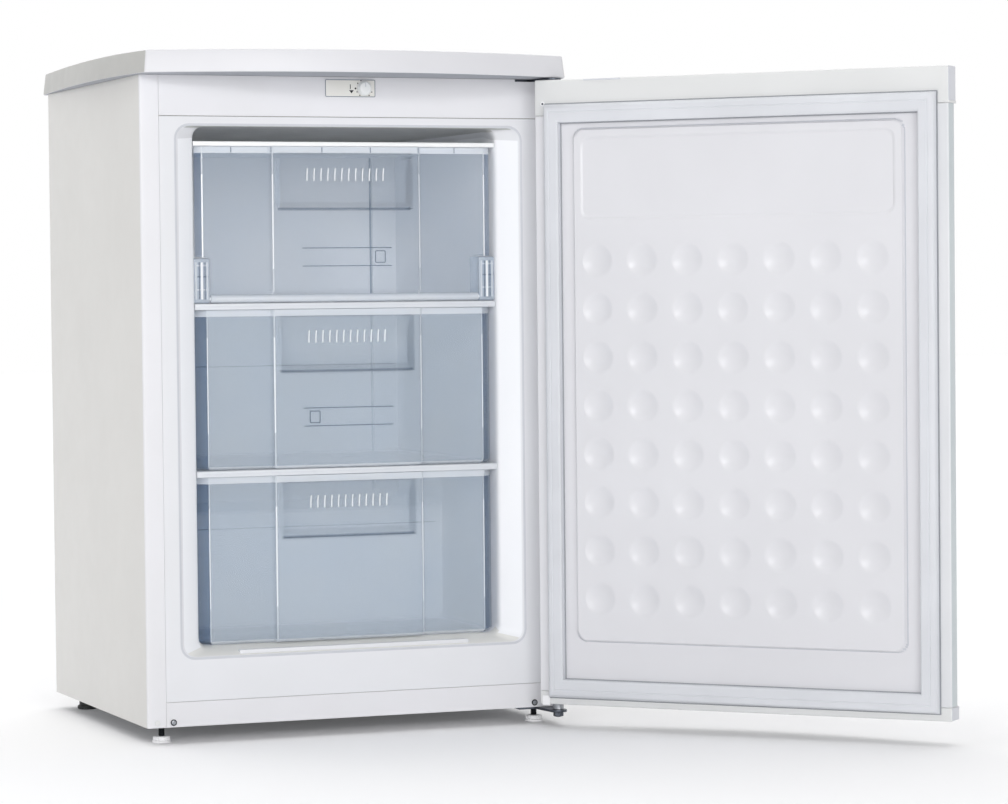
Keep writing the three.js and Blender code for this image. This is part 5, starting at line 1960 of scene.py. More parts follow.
@dataclass
class DoorShape:
    """Sizes that all the door's pieces share, with the door shut."""

    cap: Extent = measured("door_top_cap", DOOR)
    foot_cap: Extent = measured("door_bottom_cap", DOOR)
    skin: Extent = measured("door_outer_panel", DOOR)
    lining: Extent = measured("door_liner", DOOR)
    edge_depth: float = 28.0
    rim: float = 14.5

    @property
    def inner(self) -> float:
        """Depth of the door's inner face."""
        return self.cap.rear

    @property
    def outer(self) -> float:
        """Depth of the outer face at the door's edges."""
        return self.cap.rear - self.edge_depth

    def bow_at(self, x: float) -> float:
        """Gives the depth of the bowed outer face at a place across the door."""
        bow = self.outer - self.cap.front
        return self.outer - bow * (1 - (x / self.cap.right) ** 2)

    def bow_line(self, start: float, end: float, pitch: float = 11.0) -> list[Flat]:
        """Lists the points of the bowed outer face from one place to another."""
        return [(x, self.bow_at(x)) for x in stations([start, end], pitch)]


@dataclass
class DoorLeaf(DoorShape):
    """Outer skin, hand grip and end caps of the door."""

    grip_inner: float = -236.0
    grip_depth: float = 22.0
    grip_wall: float = 2.0
    cap_wall: float = 2.0
    cap_round: float = 1.6
    pin_room: float = 4.4
    bore_reach: float = 30.0
    boss_inset: float = 11.0
    boss_rise: float = 1.0
    proud: float = 0.7
    tab_ends: Flat = (154.5, 205.0)

    def build(self) -> None:
        """Builds and dresses the leaf."""
        self.outer_skin()
        self.hand_grip()
        self.end_cap("door_top_cap", self.cap, True)
        self.end_cap("door_bottom_cap", self.foot_cap, False)
        redress("door_foam", RIGID_FOAM)

    def outer_skin(self) -> None:
        """Bends the outer sheet, folded over at its hinge edge."""
        path = self.bow_line(self.skin.left, self.skin.right)
        path += [(self.skin.right, self.inner), (self.skin.right - self.rim, self.inner)]
        outline = strip(rounded_path(path, 1.6, 5), SHEET)
        piece = slab("door_skin", outline, self.skin.low, self.skin.high)
        settle(piece, [WHITE_PAINT], "door_outer_panel", DOOR, 25)

    def hand_grip(self) -> None:
        """Bends the strip that makes the grip along the free edge."""
        start = self.bow_at(self.grip_inner) + SHEET + 2 * SEAT
        back = self.inner - self.grip_depth
        path = [
            (self.grip_inner, start),
            (self.grip_inner, back),
            (self.cap.left, back),
            (self.cap.left, self.inner),
            (self.cap.left + self.rim, self.inner),
        ]
        outline = strip(rounded_path(path, 2.4, 6), -self.grip_wall)
        piece = slab("door_grip", outline, self.skin.low, self.skin.high)
        # The strip's side face takes the grey-blue of painted shade.
        side_end = self.cap.left + self.rim / 2
        tint_faces(piece, 1, lambda spot, normal: normal.x < -0.8 and spot.x < side_end)
        settle(piece, [EDGE_STRIP, EDGE_SIDE_PAINTED_SHADE], "door_handle_strip", DOOR, 25)

    def end_cap(self, node: str, room: Extent, is_top: bool) -> None:
        """Builds the shell that closes one end of the door.

        Args:
            node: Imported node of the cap.
            room: Its extent.
            is_top: Whether it is the upper cap.
        """
        plan = self.bow_line(room.left, room.right) + [(room.right, self.inner), (room.left, self.inner)]
        piece = slab(f"{node}_shell", plan, room.low, room.high)
        round_edges(piece, self.cap_round, 4, 50)
        hollow = beside(plan, self.cap_wall, True)
        if is_top:
            ends = (room.low - 1, room.high - self.cap_wall)
            low, high = room.low - 2, self.lining.high + SEAT
        else:
            ends = (room.low + self.cap_wall, room.high + 1)
            low, high = self.lining.low - SEAT, room.high + 2
        carve(piece, slab("hollow_tool", hollow, *ends))
        border = self.lining.right + SEAT
        lining = Extent(-border, border, self.inner - 6, self.inner + 6, low, high)
        carve(piece, block("lining_tool", lining))
        pin = measure("upper_hinge_pin" if is_top else "lower_hinge_pin")
        reach = self.bore_reach
        bore(piece, (pin.centre_x, pin.centre_y, room.centre_z - reach), self.pin_room, 2 * reach)
        # The free-end face takes the grey of painted shade.
        tint_faces(piece, 1, lambda spot, normal: normal.x < -0.8 and spot.x < room.left + 1)
        parts = [piece, *(self.top_details(room) if is_top else self.foot_details(room))]
        finishes = [WHITE_PLASTIC, CAP_END_PAINTED_SHADE, PALE_PLASTIC_PAINTED_LIGHT, HINGE_STEEL]
        settle(joined(f"{node}_shell", parts, finishes), finishes, node, DOOR, 30)

    def top_details(self, room: Extent) -> list[Piece]:
        """Builds the upper cap's boss in painted light, a dark disc of painted shade for its hole, the long tab in
        painted shade and the free-end lip.

        Args:
            room: Room that the cap takes.

        Returns:
            The details.
        """
        spot = (room.right - self.boss_inset, self.inner - 0.6, self.lining.high + self.boss_rise)
        # The boss takes the whiter plastic of painted light; the dark steel disc in it stands for the hole's
        # shade, painted shade.
        boss = moved(turned("boss", [(2.9, 0), (2.9, 0.9), (2.5, 1.1)], 24), spot, Axis.DEEP)
        hole = moved(turned("boss_hole", [(1.4, 0), (1.4, 1.25)], 20), spot, Axis.DEEP)
        face = self.inner + self.proud
        tab = Extent(*self.tab_ends, self.inner - 1, face, room.high - 2.2, room.high - 0.5)
        lip = Extent(room.left - 0.9, room.left + 5, self.outer + 1, face, room.low, room.low + 3.2)
        # The long tab takes the grey of painted shade.
        long_tab = tint(round_edges(block("tab", tab), 0.3, 2), 1)
        return [tint(boss, 2), tint(hole, 3), long_tab, round_edges(block("lip", lip, 1.2), 0.5, 2)]

    def foot_details(self, room: Extent) -> list[Piece]:
        """Builds the lower cap's corner block at its hinge end, in the whiter plastic of painted light.

        Args:
            room: Room that the cap takes.

        Returns:
            The details.
        """
        corner = Extent(
            room.right - 13.5, room.right - 3.5, self.inner - 1, self.inner + 1.1,
            self.lining.low - 10.5, self.lining.low + 1.5,
        )
        return [tint(round_edges(block("corner_block", corner), 0.5, 2), 2)]


@dataclass
class DoorLining(DoorShape):
    """Dimpled inner panel of the door and the gasket around it."""

    raise_by: float = 6.0
    border: float = 3.2
    free_margin: float = 54.5
    hinge_margin: float = 53.0
    top_margin: float = 30.5
    foot_margin: float = 71.5
    corner: float = 14.0
    recess_margin: float = 12.0
    recess_top: float = 11.7
    recess_height: float = 103.0
    recess_depth: float = 1.5
    dimple_pitch: float = 60.6
    dimple_radius: float = 20.0
    dimple_depth: float = 4.0
    dimple_side: float = 33.7
    dimple_foot: float = 55.7
    pitch: float = 2.7
    gasket_width: float = 22.0
    tall_share: float = 1.12

    def build(self) -> None:
        """Builds and dresses the lining and its gasket."""
        half = self.cap.right
        self.left = -half + self.free_margin
        self.right = half - self.hinge_margin
        self.low = self.lining.low + self.foot_margin
        self.high = self.lining.high - self.top_margin
        self.recess_high = self.high - self.recess_top
        self.recess_low = self.recess_high - self.recess_height
        self.panel()
        self.gasket()

    def depth_inside(self, x: float, z: float, room: tuple[float, ...], radius: float) -> float:
        """Gives how far a spot is inside a rounded rectangle.

        Args:
            x: Place across the door.
            z: Height.
            room: Left, right, low and high of the rectangle.
            radius: Radius of its corners.

        Returns:
            Distance to its outline, below zero outside.
        """
        left, right, low, high = room
        across = abs(x - (left + right) / 2) - (right - left) / 2 + radius
        up = abs(z - (low + high) / 2) - (high - low) / 2 + radius
        outside = math.hypot(max(across, 0), max(up, 0))
        return radius - outside - min(max(across, up), 0)

    def dimple_at(self, x: float, z: float) -> float:
        """Gives the depth of the nearest dimple at a spot.

        Args:
            x: Place across.
            z: Height.

        Returns:
            The depth.
        """
        first_x = self.right - self.dimple_side
        first_z = self.low + self.dimple_foot
        column = round((first_x - x) / self.dimple_pitch)
        row = round((z - first_z) / self.dimple_pitch)
        spot_x = first_x - column * self.dimple_pitch
        spot_z = first_z + row * self.dimple_pitch
        inside = spot_x > self.left + self.dimple_radius and column >= 0 and row >= 0
        if not inside or spot_z > self.recess_low - self.dimple_radius:
            return 0.0
        share = math.hypot(x - spot_x, z - spot_z) / self.dimple_radius
        return self.dimple_depth * max(0.0, 1 - share * share)

    def face_at(self, x: float, z: float) -> float:
        """Gives the depth of the lining's face at a spot.

        Args:
            x: Place across.
            z: Height.

        Returns:
            The depth.
        """
        panel = (self.left, self.right, self.low, self.high)
        rise = self.raise_by * blend_step(self.depth_inside(x, z, panel, self.corner), 0, self.border)
        margin = self.recess_margin
        recess = (self.left + margin, self.right - margin, self.recess_low, self.recess_high)
        sunk = self.recess_depth * blend_step(self.depth_inside(x, z, recess, margin), 0, 2.4)
        return self.inner + rise - sunk - self.dimple_at(x, z)

    def fine_run(self, ends: Flat, edges: Sequence[float], width: float) -> list[float]:
        """Lists stations that lie closer together beside some edges.

        Args:
            ends: First and last station.
            edges: Where the closer stretches start.
            width: Width of a closer stretch.

        Returns:
            The stations, in order.
        """
        run = set(stations(list(ends), self.pitch))
        for edge in edges:
            run = {spot for spot in run if not edge - 0.6 < spot < edge + width + 0.6 or spot in ends}
            run |= set(stations([edge, edge + width], 1.25))
        return sorted(run)

    def panel(self) -> None:
        """Presses the inner panel: its raised field, its recess and its dimples."""
        room = self.lining
        margin = self.recess_margin
        xs = self.fine_run(
            (room.left, room.right),
            (self.left, self.right - self.border, self.left + margin, self.right - margin - 2.5),
            self.border,
        )
        zs = self.fine_run(
            (room.low, room.high),
            (self.low, self.high - self.border, self.recess_low, self.recess_high - 2.5),
            self.border,
        )

        def place(row: int, column: int) -> Spot:
            """Gives a spot of the lining's face."""
            return (xs[column], self.face_at(xs[column], zs[row]), zs[row])

        piece = drawn_surface("door_lining", len(zs), len(xs), place)
        aim(piece, (0, 1, 0))
        with editing(piece):
            bpy.ops.mesh.select_all(action="DESELECT")
            bpy.ops.mesh.select_mode(type="EDGE")
            bpy.ops.mesh.select_non_manifold()
            bpy.ops.mesh.extrude_edges_move(TRANSFORM_OT_translate={"value": (0, room.front - self.inner, 0)})
            bpy.ops.mesh.edge_face_add()
            bpy.ops.mesh.select_all(action="SELECT")
            bpy.ops.mesh.normals_make_consistent(inside=False)
        edge = (self.left, self.right, self.low, self.high)

        def on_edge(spot: Vector, normal: Vector) -> bool:
            """Tells whether a spot is on the fine edge of the raised field."""
            return spot.y > self.inner and 0.1 < self.depth_inside(spot.x, spot.z, edge, self.corner) < 1.5

        # The raised field's edge takes the grey line of painted shade.
        tint_faces(piece, 1, on_edge)
        settle(piece, [DOOR_LINING, LINER_SHADE_LINE_AND_INK], "door_liner", DOOR, 50)

    def gasket(self) -> None:
        """Runs the gasket's folded section round the door, mitred at its corners."""
        room = measure("door_gasket", DOOR)
        back, face = room.front, room.rear
        width = self.gasket_width
        section = [
            (-1.2, back), (-1.2, back + 0.5), (-0.1, back + 0.5), (0.0, back + 2.6), (0.8, back + 4.2),
            (0.5, back + 6.4), (1.4, back + 8.6), (3.0, face - 0.8), (5.2, face - 0.1), (8.2, face),
            (8.8, face - 0.6), (9.6, face - 0.6), (10.2, face), (14.0, face - 0.1), (18.0, face),
            (width - 2.2, face - 0.5), (width - 1.1, face - 1.6), (width - 1.0, back + 2.0),
            (width, back + 1.4), (width, back),
        ]
        rings = [
            rounded_rectangle(
                room.left + d, room.right - d, room.low + d * self.tall_share,
                room.high - d * self.tall_share, 0.01, 1,
            )
            for d, _ in section
        ]
        count = len(rings[0])

        def place(row: int, column: int) -> Spot:
            """Gives a spot of the gasket."""
            x, z = rings[row % len(section)][column % count]
            return (x, section[row % len(section)][1], z)

        piece = drawn_surface("door_seal", len(section) + 1, count + 1, place, 0.05)
        # The gasket's back edge takes the grey of painted shadow.
        tint_faces(piece, 1, lambda spot, _: spot.y < back + 2.2)
        settle(piece, [GASKET_VINYL, GASKET_SHADOW], "door_gasket", DOOR, 40)


# ---------------------------------------------------------------- hinges, controls and feet


@dataclass
class Hardware:
    """Hinges, screws, feet, control plate and knob."""

    thread_pitch: float = 1.25
    knob_ridges: int = 24
    arm_root: float = 6.0
    arm_left: float = 243.0
    post_radius: float = 4.0
    pad_ribs: int = 16
    pad_swell: float = 0.17
    plate_left: float = 1.4
    plate_low: float = 0.9
    plate_high: float = 0.8

    def build(self) -> None:
        """Builds and dresses all the small hardware."""
        self.hinge_plate("upper_hinge_plate", "upper_hinge_pin", False)
        self.hinge_plate("lower_hinge_bracket", "lower_hinge_pin", True)
        screws = [f"{level}_hinge_screw_{number}" for level in ("upper", "lower") for number in (1, 2)]
        for node in ("upper_hinge_pin", *screws):
            redress(node, ZINC_STEEL)
        self.hinge_post()
        for side in ("left", "right"):
            self.rail_screw(f"{side}_rail_screw")
            self.foot_pad(f"{side}_foot_pad")
            self.foot_stud(f"{side}_foot_stud")
            self.rear_foot(f"{side}_rear_foot")
        self.plug()
        self.knob()
        self.control_plate()
        room = measure("thermostat_body")
        body = round_edges(block("thermostat_case", room, 2.5), 1.0, 3)
        settle(body, [BLACK_PLASTIC], "thermostat_body")

    def standing(
        self, name: str, node: str, profile: Sequence[Flat], finishes: Sequence[Finish], sides: int = 32
    ) -> Piece:
        """Turns an upright piece on the middle of a node's room and settles it.

        Args:
            name: Name of the piece.
            node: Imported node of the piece.
            profile: Radius and height of each ring, from the foot up.
            finishes: Finishes, in the order of the faces' numbers.
            sides: Sides of the rings.

        Returns:
            The piece.
        """
        room = measure(node)
        piece = moved(turned(name, profile, sides), (room.centre_x, room.centre_y, room.low))
        return settle(piece, finishes, node)

    def hinge_plate(self, node: str, pin_node: str, holds_foot: bool) -> None:
        """Builds a hinge plate: a screwed-down root and a narrower arm out to the pin.

        Args:
            node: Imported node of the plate.
            pin_node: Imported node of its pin.
            holds_foot: Whether the right front foot's stud goes through it.
        """
        room = measure(node)
        pin = measure(pin_node)
        tip = room.right - pin.centre_x
        outline = arc((pin.centre_x, pin.centre_y), tip, -180, 0, 12)
        outline += [(room.right, room.rear), (room.left, room.rear), (room.left, self.arm_root)]
        outline += [(self.arm_left - 3, self.arm_root), (self.arm_left, self.arm_root - 4)]
        plate = slab(f"{node}_plate", outline, room.low, room.high)
        holes = [(pin.centre_x, pin.centre_y, self.post_radius)]
        if holds_foot:
            stud = measure("right_foot_stud")
            holes.append((stud.centre_x, stud.centre_y, stud.half_width + 0.8))
        for x, y, radius in holes:
            bore(plate, (x, y, room.low - 4), radius + SEAT, 12)
        round_edges(plate, 0.35, 2)
        settle(plate, [HINGE_STEEL], node)

    def hinge_post(self) -> None:
        """Builds the lower hinge pin with its collar, and the nut below."""
        pin = measure("lower_hinge_pin")
        plate = measure("lower_hinge_bracket")
        rise = plate.high + SEAT - pin.low
        collar = measure("door_bottom_cap").low - SEAT - pin.low
        r, wide = self.post_radius, pin.half_width
        profile = [
            (r - 0.8, 0), (r, 0.8), (r, rise), (wide - 0.5, rise), (wide, rise + 0.5),
            (wide, collar - 0.5), (wide - 0.5, collar), (r, collar), (r, pin.high - pin.low - 1),
            (r - 1, pin.high - pin.low),
        ]
        self.standing("hinge_post", "lower_hinge_pin", profile, [ZINC_STEEL])
        nut = measure("lower_hinge_nut")
        height = nut.high - nut.low
        radius = nut.half_width
        profile = [(radius - 0.8, 0), (radius, 0.6), (radius, height - 0.6), (radius - 0.8, height)]
        hexagon = turned("hinge_nut_body", profile, 6)
        moved(hexagon, (nut.centre_x, nut.centre_y, nut.low))
        bore(hexagon, (nut.centre_x, nut.centre_y, nut.low - height / 2), r + SEAT, 2 * height, 24)
        settle(hexagon, [HINGE_STEEL], "lower_hinge_nut", angle=20)

    def rail_screw(self, node: str) -> None:
        """Builds a pan-head screw with a cross recess, facing forward.

        Args:
            node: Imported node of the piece.
        """
        room = measure(node)
        head = [(4.0, 0), (4.0, 0.5), (3.6, 1.1), (2.7, 1.45), (1.2, 1.5)]
        profile = [(1.6, -room.rear - SEAT), (1.9, -room.rear + 0.6), (1.9, 0)] + head
        piece = facing(turned(f"{node}_pan", profile, 28), (room.centre_x, -SEAT, room.centre_z))
        for half_width, half_height in ((2.2, 0.45), (0.45, 2.2)):
            slot = Extent(
                room.centre_x - half_width, room.centre_x + half_width, room.front - 1, room.front + 1.0,
                room.centre_z - half_height, room.centre_z + half_height,
            )
            carve(piece, block("slot_tool", slot))
        # The outer ring of the head takes the dark steel of painted shade.
        tint_faces(piece, 1, lambda spot, _: math.hypot(spot.x - room.centre_x, spot.z - room.centre_z) > 2.5)
        settle(piece, [ZINC_STEEL, DARK_STEEL], node)

    def plug(self) -> None:
        """Builds the press-in plug of the spare hinge hole."""
        room = measure("hole_plug")
        piece = turned("hole_plug_button", [(3.5, 0), (3.5, 0.4), (3.1, 0.85), (2.0, 1.0)], 24)
        facing(piece, (room.centre_x, room.rear, room.centre_z))
        settle(piece, [WHITE_PLASTIC], "hole_plug")

    def foot_pad(self, node: str) -> None:
        """Builds a foot's pad: a flange under a ribbed hub.

        Args:
            node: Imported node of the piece.
        """
        room = measure(node)
        wide, height = room.half_width + self.pad_swell, room.high - room.low
        hub = wide - 2.6
        profile = [
            (wide - 0.8, 0), (wide, 0.6), (wide, 2.4), (wide - 0.6, 3.0), (hub, 3.3), (hub, height - 0.7),
            (hub - 0.7, height),
        ]
        rib = Extent(hub - 1, wide - 1.0, -0.7, 0.7, 2.6, height - 0.8)
        parts = [turned("pad", profile, 40), *ring_of_ribs("pad_rib", rib, self.pad_ribs)]
        for part in parts:
            moved(part, (room.centre_x, room.centre_y, 0))
        # The pads take the whiter plastic of painted light.
        settle(joined(f"{node}_hub", parts, [PALE_PLASTIC_PAINTED_LIGHT]), [PALE_PLASTIC_PAINTED_LIGHT], node)

    def foot_stud(self, node: str) -> None:
        """Builds a foot's threaded stud.

        Args:
            node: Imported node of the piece.
        """
        room = measure(node)
        height = room.high - room.low
        wide = room.half_width
        profile: list[Flat] = [(wide - 0.9, 0.0)]
        turns = int((height - 1) / self.thread_pitch)
        for turn in range(turns):
            foot = 0.4 + turn * self.thread_pitch
            profile += [(wide - 0.6, foot), (wide, foot + self.thread_pitch * 0.4), (wide, foot + 0.7)]
        profile.append((wide - 0.9, height))
        self.standing(f"{node}_thread", node, profile, [DARK_STEEL], 20)

    def rear_foot(self, node: str) -> None:
        """Builds a fixed rear foot with a waist.

        Args:
            node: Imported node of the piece.
        """
        room = measure(node)
        wide, height = room.half_width, room.high - room.low
        profile = [
            (wide - 1, 0), (wide, 1), (wide, 4), (wide - 2.4, 6), (wide - 2.4, height - 4),
            (wide - 0.6, height - 3), (wide - 0.6, height),
        ]
        self.standing(f"{node}_block", node, profile, [BLACK_PLASTIC], 36)

    def knob(self) -> None:
        """Builds the thermostat's dial with a fluted skirt, a pointer and its shaft."""
        room = measure("thermostat_knob")
        plate = measure("control_plate")
        wide = room.half_width
        depth = plate.rear - room.front
        shaft = room.rear - plate.rear
        profile = [
            (2.4, -shaft), (2.4, 0), (wide - 0.2, 0), (wide, 0.4), (wide, 1.4), (wide - 1.2, 1.9),
            (wide - 1.5, depth - 0.8), (wide - 2.2, depth - 0.15), (wide - 3, depth),
        ]
        ridge = Extent(wide - 2.2, wide - 0.9, -0.35, 0.35, 1.6, depth - 0.9)
        parts = [turned("dial", profile, 48), *ring_of_ribs("ridge", ridge, self.knob_ridges)]
        pointer = block("pointer", Extent(-0.45, 0.45, 1.5, wide - 2.6, depth - 0.5, depth + 0.12))
        parts.append(tint(pointer, 1))
        finishes = [KNOB_PLASTIC, LINER_SHADE_LINE_AND_INK]
        piece = facing(joined("thermostat_dial", parts, finishes), (room.centre_x, plate.rear, room.centre_z))
        settle(piece, finishes, "thermostat_knob")

    def control_plate(self) -> None:
        """Builds the plate round the dial with its raised border, dark as painted shade, and its setting marks."""
        room = measure("control_plate")
        low, high = room.low - self.plate_low, room.high + self.plate_high
        room = Extent(room.left - self.plate_left, room.right, room.front, room.rear, low, high)
        knob = measure("thermostat_knob")
        outline = rounded_rectangle(room.left, room.right, room.low, room.high, 1.6, 5)
        plate = round_edges(slab("control_face", outline, room.front + 0.25, room.rear, Axis.DEEP), 0.25, 2)
        hole = turned("bore_tool", [(knob.half_width + 0.5, 0), (knob.half_width + 0.5, 6)], 40)
        carve(plate, facing(hole, (knob.centre_x, 2, knob.centre_z)))
        inner = rounded_rectangle(room.left + 0.8, room.right - 0.8, room.low + 0.8, room.high - 0.8, 0.9, 5)
        border = slab("control_border", outline, room.front, room.front + 0.5, Axis.DEEP)
        carve(border, slab("border_tool", inner, room.front - 1, room.rear + 1, Axis.DEEP))
        gap = Extent(
            knob.left - 0.6, knob.right + 0.6, room.front - 1, room.rear + 1, knob.low - 0.6, knob.high + 0.6
        )
        carve(border, block("border_tool", gap))
        # The border takes the dark grey of painted shade.
        parts = [plate, tint(border, 2), *self.plate_marks(room, knob)]
        finishes = [CREAM_PLASTIC, MARK_INK, LINER_SEAM_PAINTED_SHADE]
        settle(joined("control_face", parts, finishes), finishes, "control_plate")

    def plate_marks(self, room: Extent, knob: Extent) -> list[Piece]:
        """Builds the marks beside the dial: an arrow on its stem, a dot, and lines round the dial.

        Args:
            room: Room that the plate takes.
            knob: Room that the dial takes.

        Returns:
            The marks.
        """
        front, back = room.front + 0.1, room.front + 0.5
        arrow_x, arrow_z = knob.left - 8.1, room.centre_z - 4.2
        head = [(arrow_x - 3.1, arrow_z + 1.8), (arrow_x + 3.1, arrow_z + 1.8), (arrow_x, arrow_z - 2.2)]
        stem = Extent(arrow_x - 1.9, arrow_x - 1.0, front, back, arrow_z + 3.2, arrow_z + 9.0)
        dot = arc((arrow_x + 5.4, room.centre_z - 0.2), 1.2, 345, 0, 23)
        marks = [slab("arrow", head[::-1], front, back, Axis.DEEP), block("stem", stem)]
        marks.append(slab("dot", dot, front, back, Axis.DEEP))
        reach = knob.half_width + 1.7
        for turn in (205, 235, 305, 335, 115, 145):
            middle = math.radians(turn)
            x, z = knob.centre_x + reach * math.cos(middle), knob.centre_z + reach * math.sin(middle)
            tick = arc((x, z), 0.8, 330, 0, 11)
            marks.append(slab("step_mark", tick, front, back, Axis.DEEP))
        return [tint(mark, 1) for mark in marks]


# ---------------------------------------------------------------- cooling set


@dataclass
class CoolingSet:
    """Compressor, condenser and pipes behind and below the cabinet."""

    stretch: float = 1.15
    wire_pitch: float = 7.0
    wire_radius: float = 0.8
    tube_radius: float = 2.6
    run_pitch: float = 56.0
    strap_half: float = 6.0
    bend: float = 12.0
    end_room: float = 10.0
    wire_inset: float = 12.0
    pipe_radius: float = 3.0
    drier_length: float = 90.0

    def build(self) -> None:
        """Builds and dresses the cooling set."""
        self.compressor()
        self.condenser()
        self.pipes()
        gland = measure("cord_gland")
        profile = [(6.5, 0), (6.5, 5), (6.2, 6.4), (8.6, 6.6), (9.0, 7.2), (9.0, 9.2)]
        profile += [(8.4, 9.8), (6.6, 10), (6.0, 13.2)]
        bush = turned("gland_bush", profile, 28)
        facing(bush, (gland.centre_x, gland.front, gland.centre_z), -1)
        settle(bush, [BLACK_RUBBER], "cord_gland")

    def compressor(self) -> None:
        """Builds the welded shell on its foot plate, its mounts and its terminal box."""
        room = measure("compressor")
        mounts = [measure(f"compressor_mount_{number}") for number in (1, 2, 3, 4)]
        plate_low = mounts[0].high + SEAT
        plate_high = plate_low + 2.5
        height = room.high - plate_high
        wide = room.half_width / self.stretch
        shares = (
            (0.62, 0), (0.8, 2.5), (0.93, 11), (0.985, 22), (0.985, 70), (0.995, 71), (0.995, 75), (0.97, 76),
            (0.97, 108), (0.93, 122), (0.82, 134), (0.62, 143), (0.38, 147.5), (0.14, height),
        )
        shell = turned("shell", [(wide * share, rise) for share, rise in shares], 56)
        shell.data.transform(Matrix.Diagonal((self.stretch, 1, 1, 1)))
        moved(shell, (room.centre_x, room.centre_y, plate_high - 1))
        across = [mount.centre_x for mount in mounts]
        deep = [mount.centre_y for mount in mounts]
        border = mounts[0].half_width - 0.3
        outline = rounded_rectangle(
            min(across) - border, max(across) + border, min(deep) - border, max(deep) + border, border, 8
        )
        plate = round_edges(slab("foot_plate", outline, plate_low, plate_high), 0.8, 2)
        parts = [shell, plate]
        for x, y in zip(across, deep):
            stud = turned("stud", [(5.5, 0), (5.5, 1.4), (3.0, 1.6), (3.0, 6), (2.4, 6.6)], 20)
            parts.append(moved(stud, (x, y, plate_high - 0.2)))
        stub = turned("stub", [(3.4, 0), (3.4, 14), (2.8, 14.6), (2.8, 18)], 18)
        parts.append(moved(stub, (room.centre_x - 26, room.centre_y - 30, plate_high + 138)))
        settle(joined("compressor_shell", parts, [BLACK_ENAMEL]), [BLACK_ENAMEL], "compressor", angle=38)
        for number, mount in enumerate(mounts, 1):
            self.rubber_mount(number, mount)
        self.terminal_cover()

    def rubber_mount(self, number: int, mount: Extent) -> None:
        """Builds a waisted rubber mount.

        Args:
            number: Number of the mount.
            mount: Room that it takes.
        """
        tall = mount.high - mount.low
        r = mount.half_width
        waist = [
            (r - 0.6, 0), (r, 0.8), (r, 4.4), (r - 2.4, 5.4), (r - 2.4, tall - 5), (r - 0.4, tall - 4),
            (r - 0.4, tall - 0.6), (r - 1, tall),
        ]
        ring = turned(f"rubber_mount_{number}", waist, 28)
        moved(ring, (mount.centre_x, mount.centre_y, mount.low))
        settle(ring, [BLACK_RUBBER], f"compressor_mount_{number}")

    def terminal_cover(self) -> None:
        """Builds the terminal box's cover with its lid and its ridge."""
        box = measure("terminal_box")
        lid = Extent(box.left - 0.6, box.left + 4, box.front + 3, box.rear - 3, box.low + 3, box.high - 3)
        ridge = Extent(
            box.left + 6, box.left + 8, box.front - 0.5, box.rear + 0.5, box.low - 0.5, box.high + 0.5
        )
        pieces = [
            round_edges(block("terminal_cover", box, 3), 1.4, 3),
            round_edges(block("lid", lid, 2), 0.8, 2),
            round_edges(block("ridge", ridge, 1), 0.4, 2),
        ]
        settle(joined("terminal_cover", pieces, [BLACK_PLASTIC]), [BLACK_PLASTIC], "terminal_box")

    def condenser(self) -> None:
        """Builds the grille: one long bent tube between two layers of wires, on two straps."""
        room = measure("condenser")
        half = room.half_width - self.tube_radius
        tube_y = room.rear - self.tube_radius
        low = room.low + self.end_room
        runs = int((room.high - self.end_room - low + 0.5) / self.run_pitch) + 1
        route: list[Spot] = []
        for run in range(runs):
            z = low + run * self.run_pitch
            ends = (-half, half) if run % 2 else (half, -half)
            route += [(ends[0], tube_y, z), (ends[1], tube_y, z)]
        bends = rounded_path(route, self.run_pitch / 2 - 0.5, 8)
        parts = [tube("grille", bends, self.tube_radius, 3)]
        reach = half - self.wire_inset
        count = int(2 * reach / self.wire_pitch)
        for index in range(count + 1):
            x = -reach + index * 2 * reach / count
            gap = (self.tube_radius + self.wire_radius - 0.15) * (1 if index % 2 else -1)
            ends = [(x, tube_y + gap, low - 8), (x, tube_y + gap, room.high - 2)]
            parts.append(tube("wire", ends, self.wire_radius, 0))
        for hand in (-1, 1):
            x = hand * (half - self.run_pitch)
            sides = (x - self.strap_half, x + self.strap_half)
            strap = Extent(*sides, tube_y - 0.6, tube_y + 0.6, room.low, room.high)
            parts.append(round_edges(block("strap", strap), 0.3, 2))
            for z in (room.low, room.high - 6):
                foot = Extent(*sides, room.front, tube_y + 0.6, z, z + 6)
                parts.append(round_edges(block("strap_foot", foot), 0.6, 2))
        settle(joined("condenser_grille", parts, [BLACK_ENAMEL]), [BLACK_ENAMEL], "condenser")

    def pipes(self) -> None:
        """Bends both copper pipes and builds the filter drier."""
        out = measure("discharge_pipe")
        r = self.pipe_radius
        z, y, side = out.low + r, out.front + r, out.right - r
        route = [(out.left, y, z), (side, y, z), (side, out.rear - r, z), (side, out.rear - r, out.high)]
        settle(tube("discharge_line", rounded_path(route, self.bend, 8), r), [COPPER_TUBE], "discharge_pipe")
        back = measure("suction_pipe")
        z, y, side = back.low + r, back.centre_y, back.left + r
        route = [(back.right, y, z), (side, y, z), (side, y, back.high)]
        settle(tube("suction_line", rounded_path(route, self.bend, 8), r), [COPPER_TUBE], "suction_pipe")
        drier = measure("filter_drier")
        wide = drier.half_width
        length = self.drier_length
        profile = [(r, 0), (r, 8), (r + 1, 9)]
        for turn in (0, math.pi / 4, math.pi / 2):
            profile.append((wide - 2 + 2 * math.sin(turn), 16 - 5 * math.cos(turn)))
        profile += [(wide, 16 + length), (wide - 0.6, 19 + length), (r + 1, 24 + length)]
        profile += [(r, 25 + length), (r, drier.high - drier.low)]
        sleeve = moved(turned("drier_sleeve", profile, 28), (drier.centre_x, drier.centre_y, drier.low))
        settle(sleeve, [COPPER_TUBE], "filter_drier")


# ---------------------------------------------------------------- studio


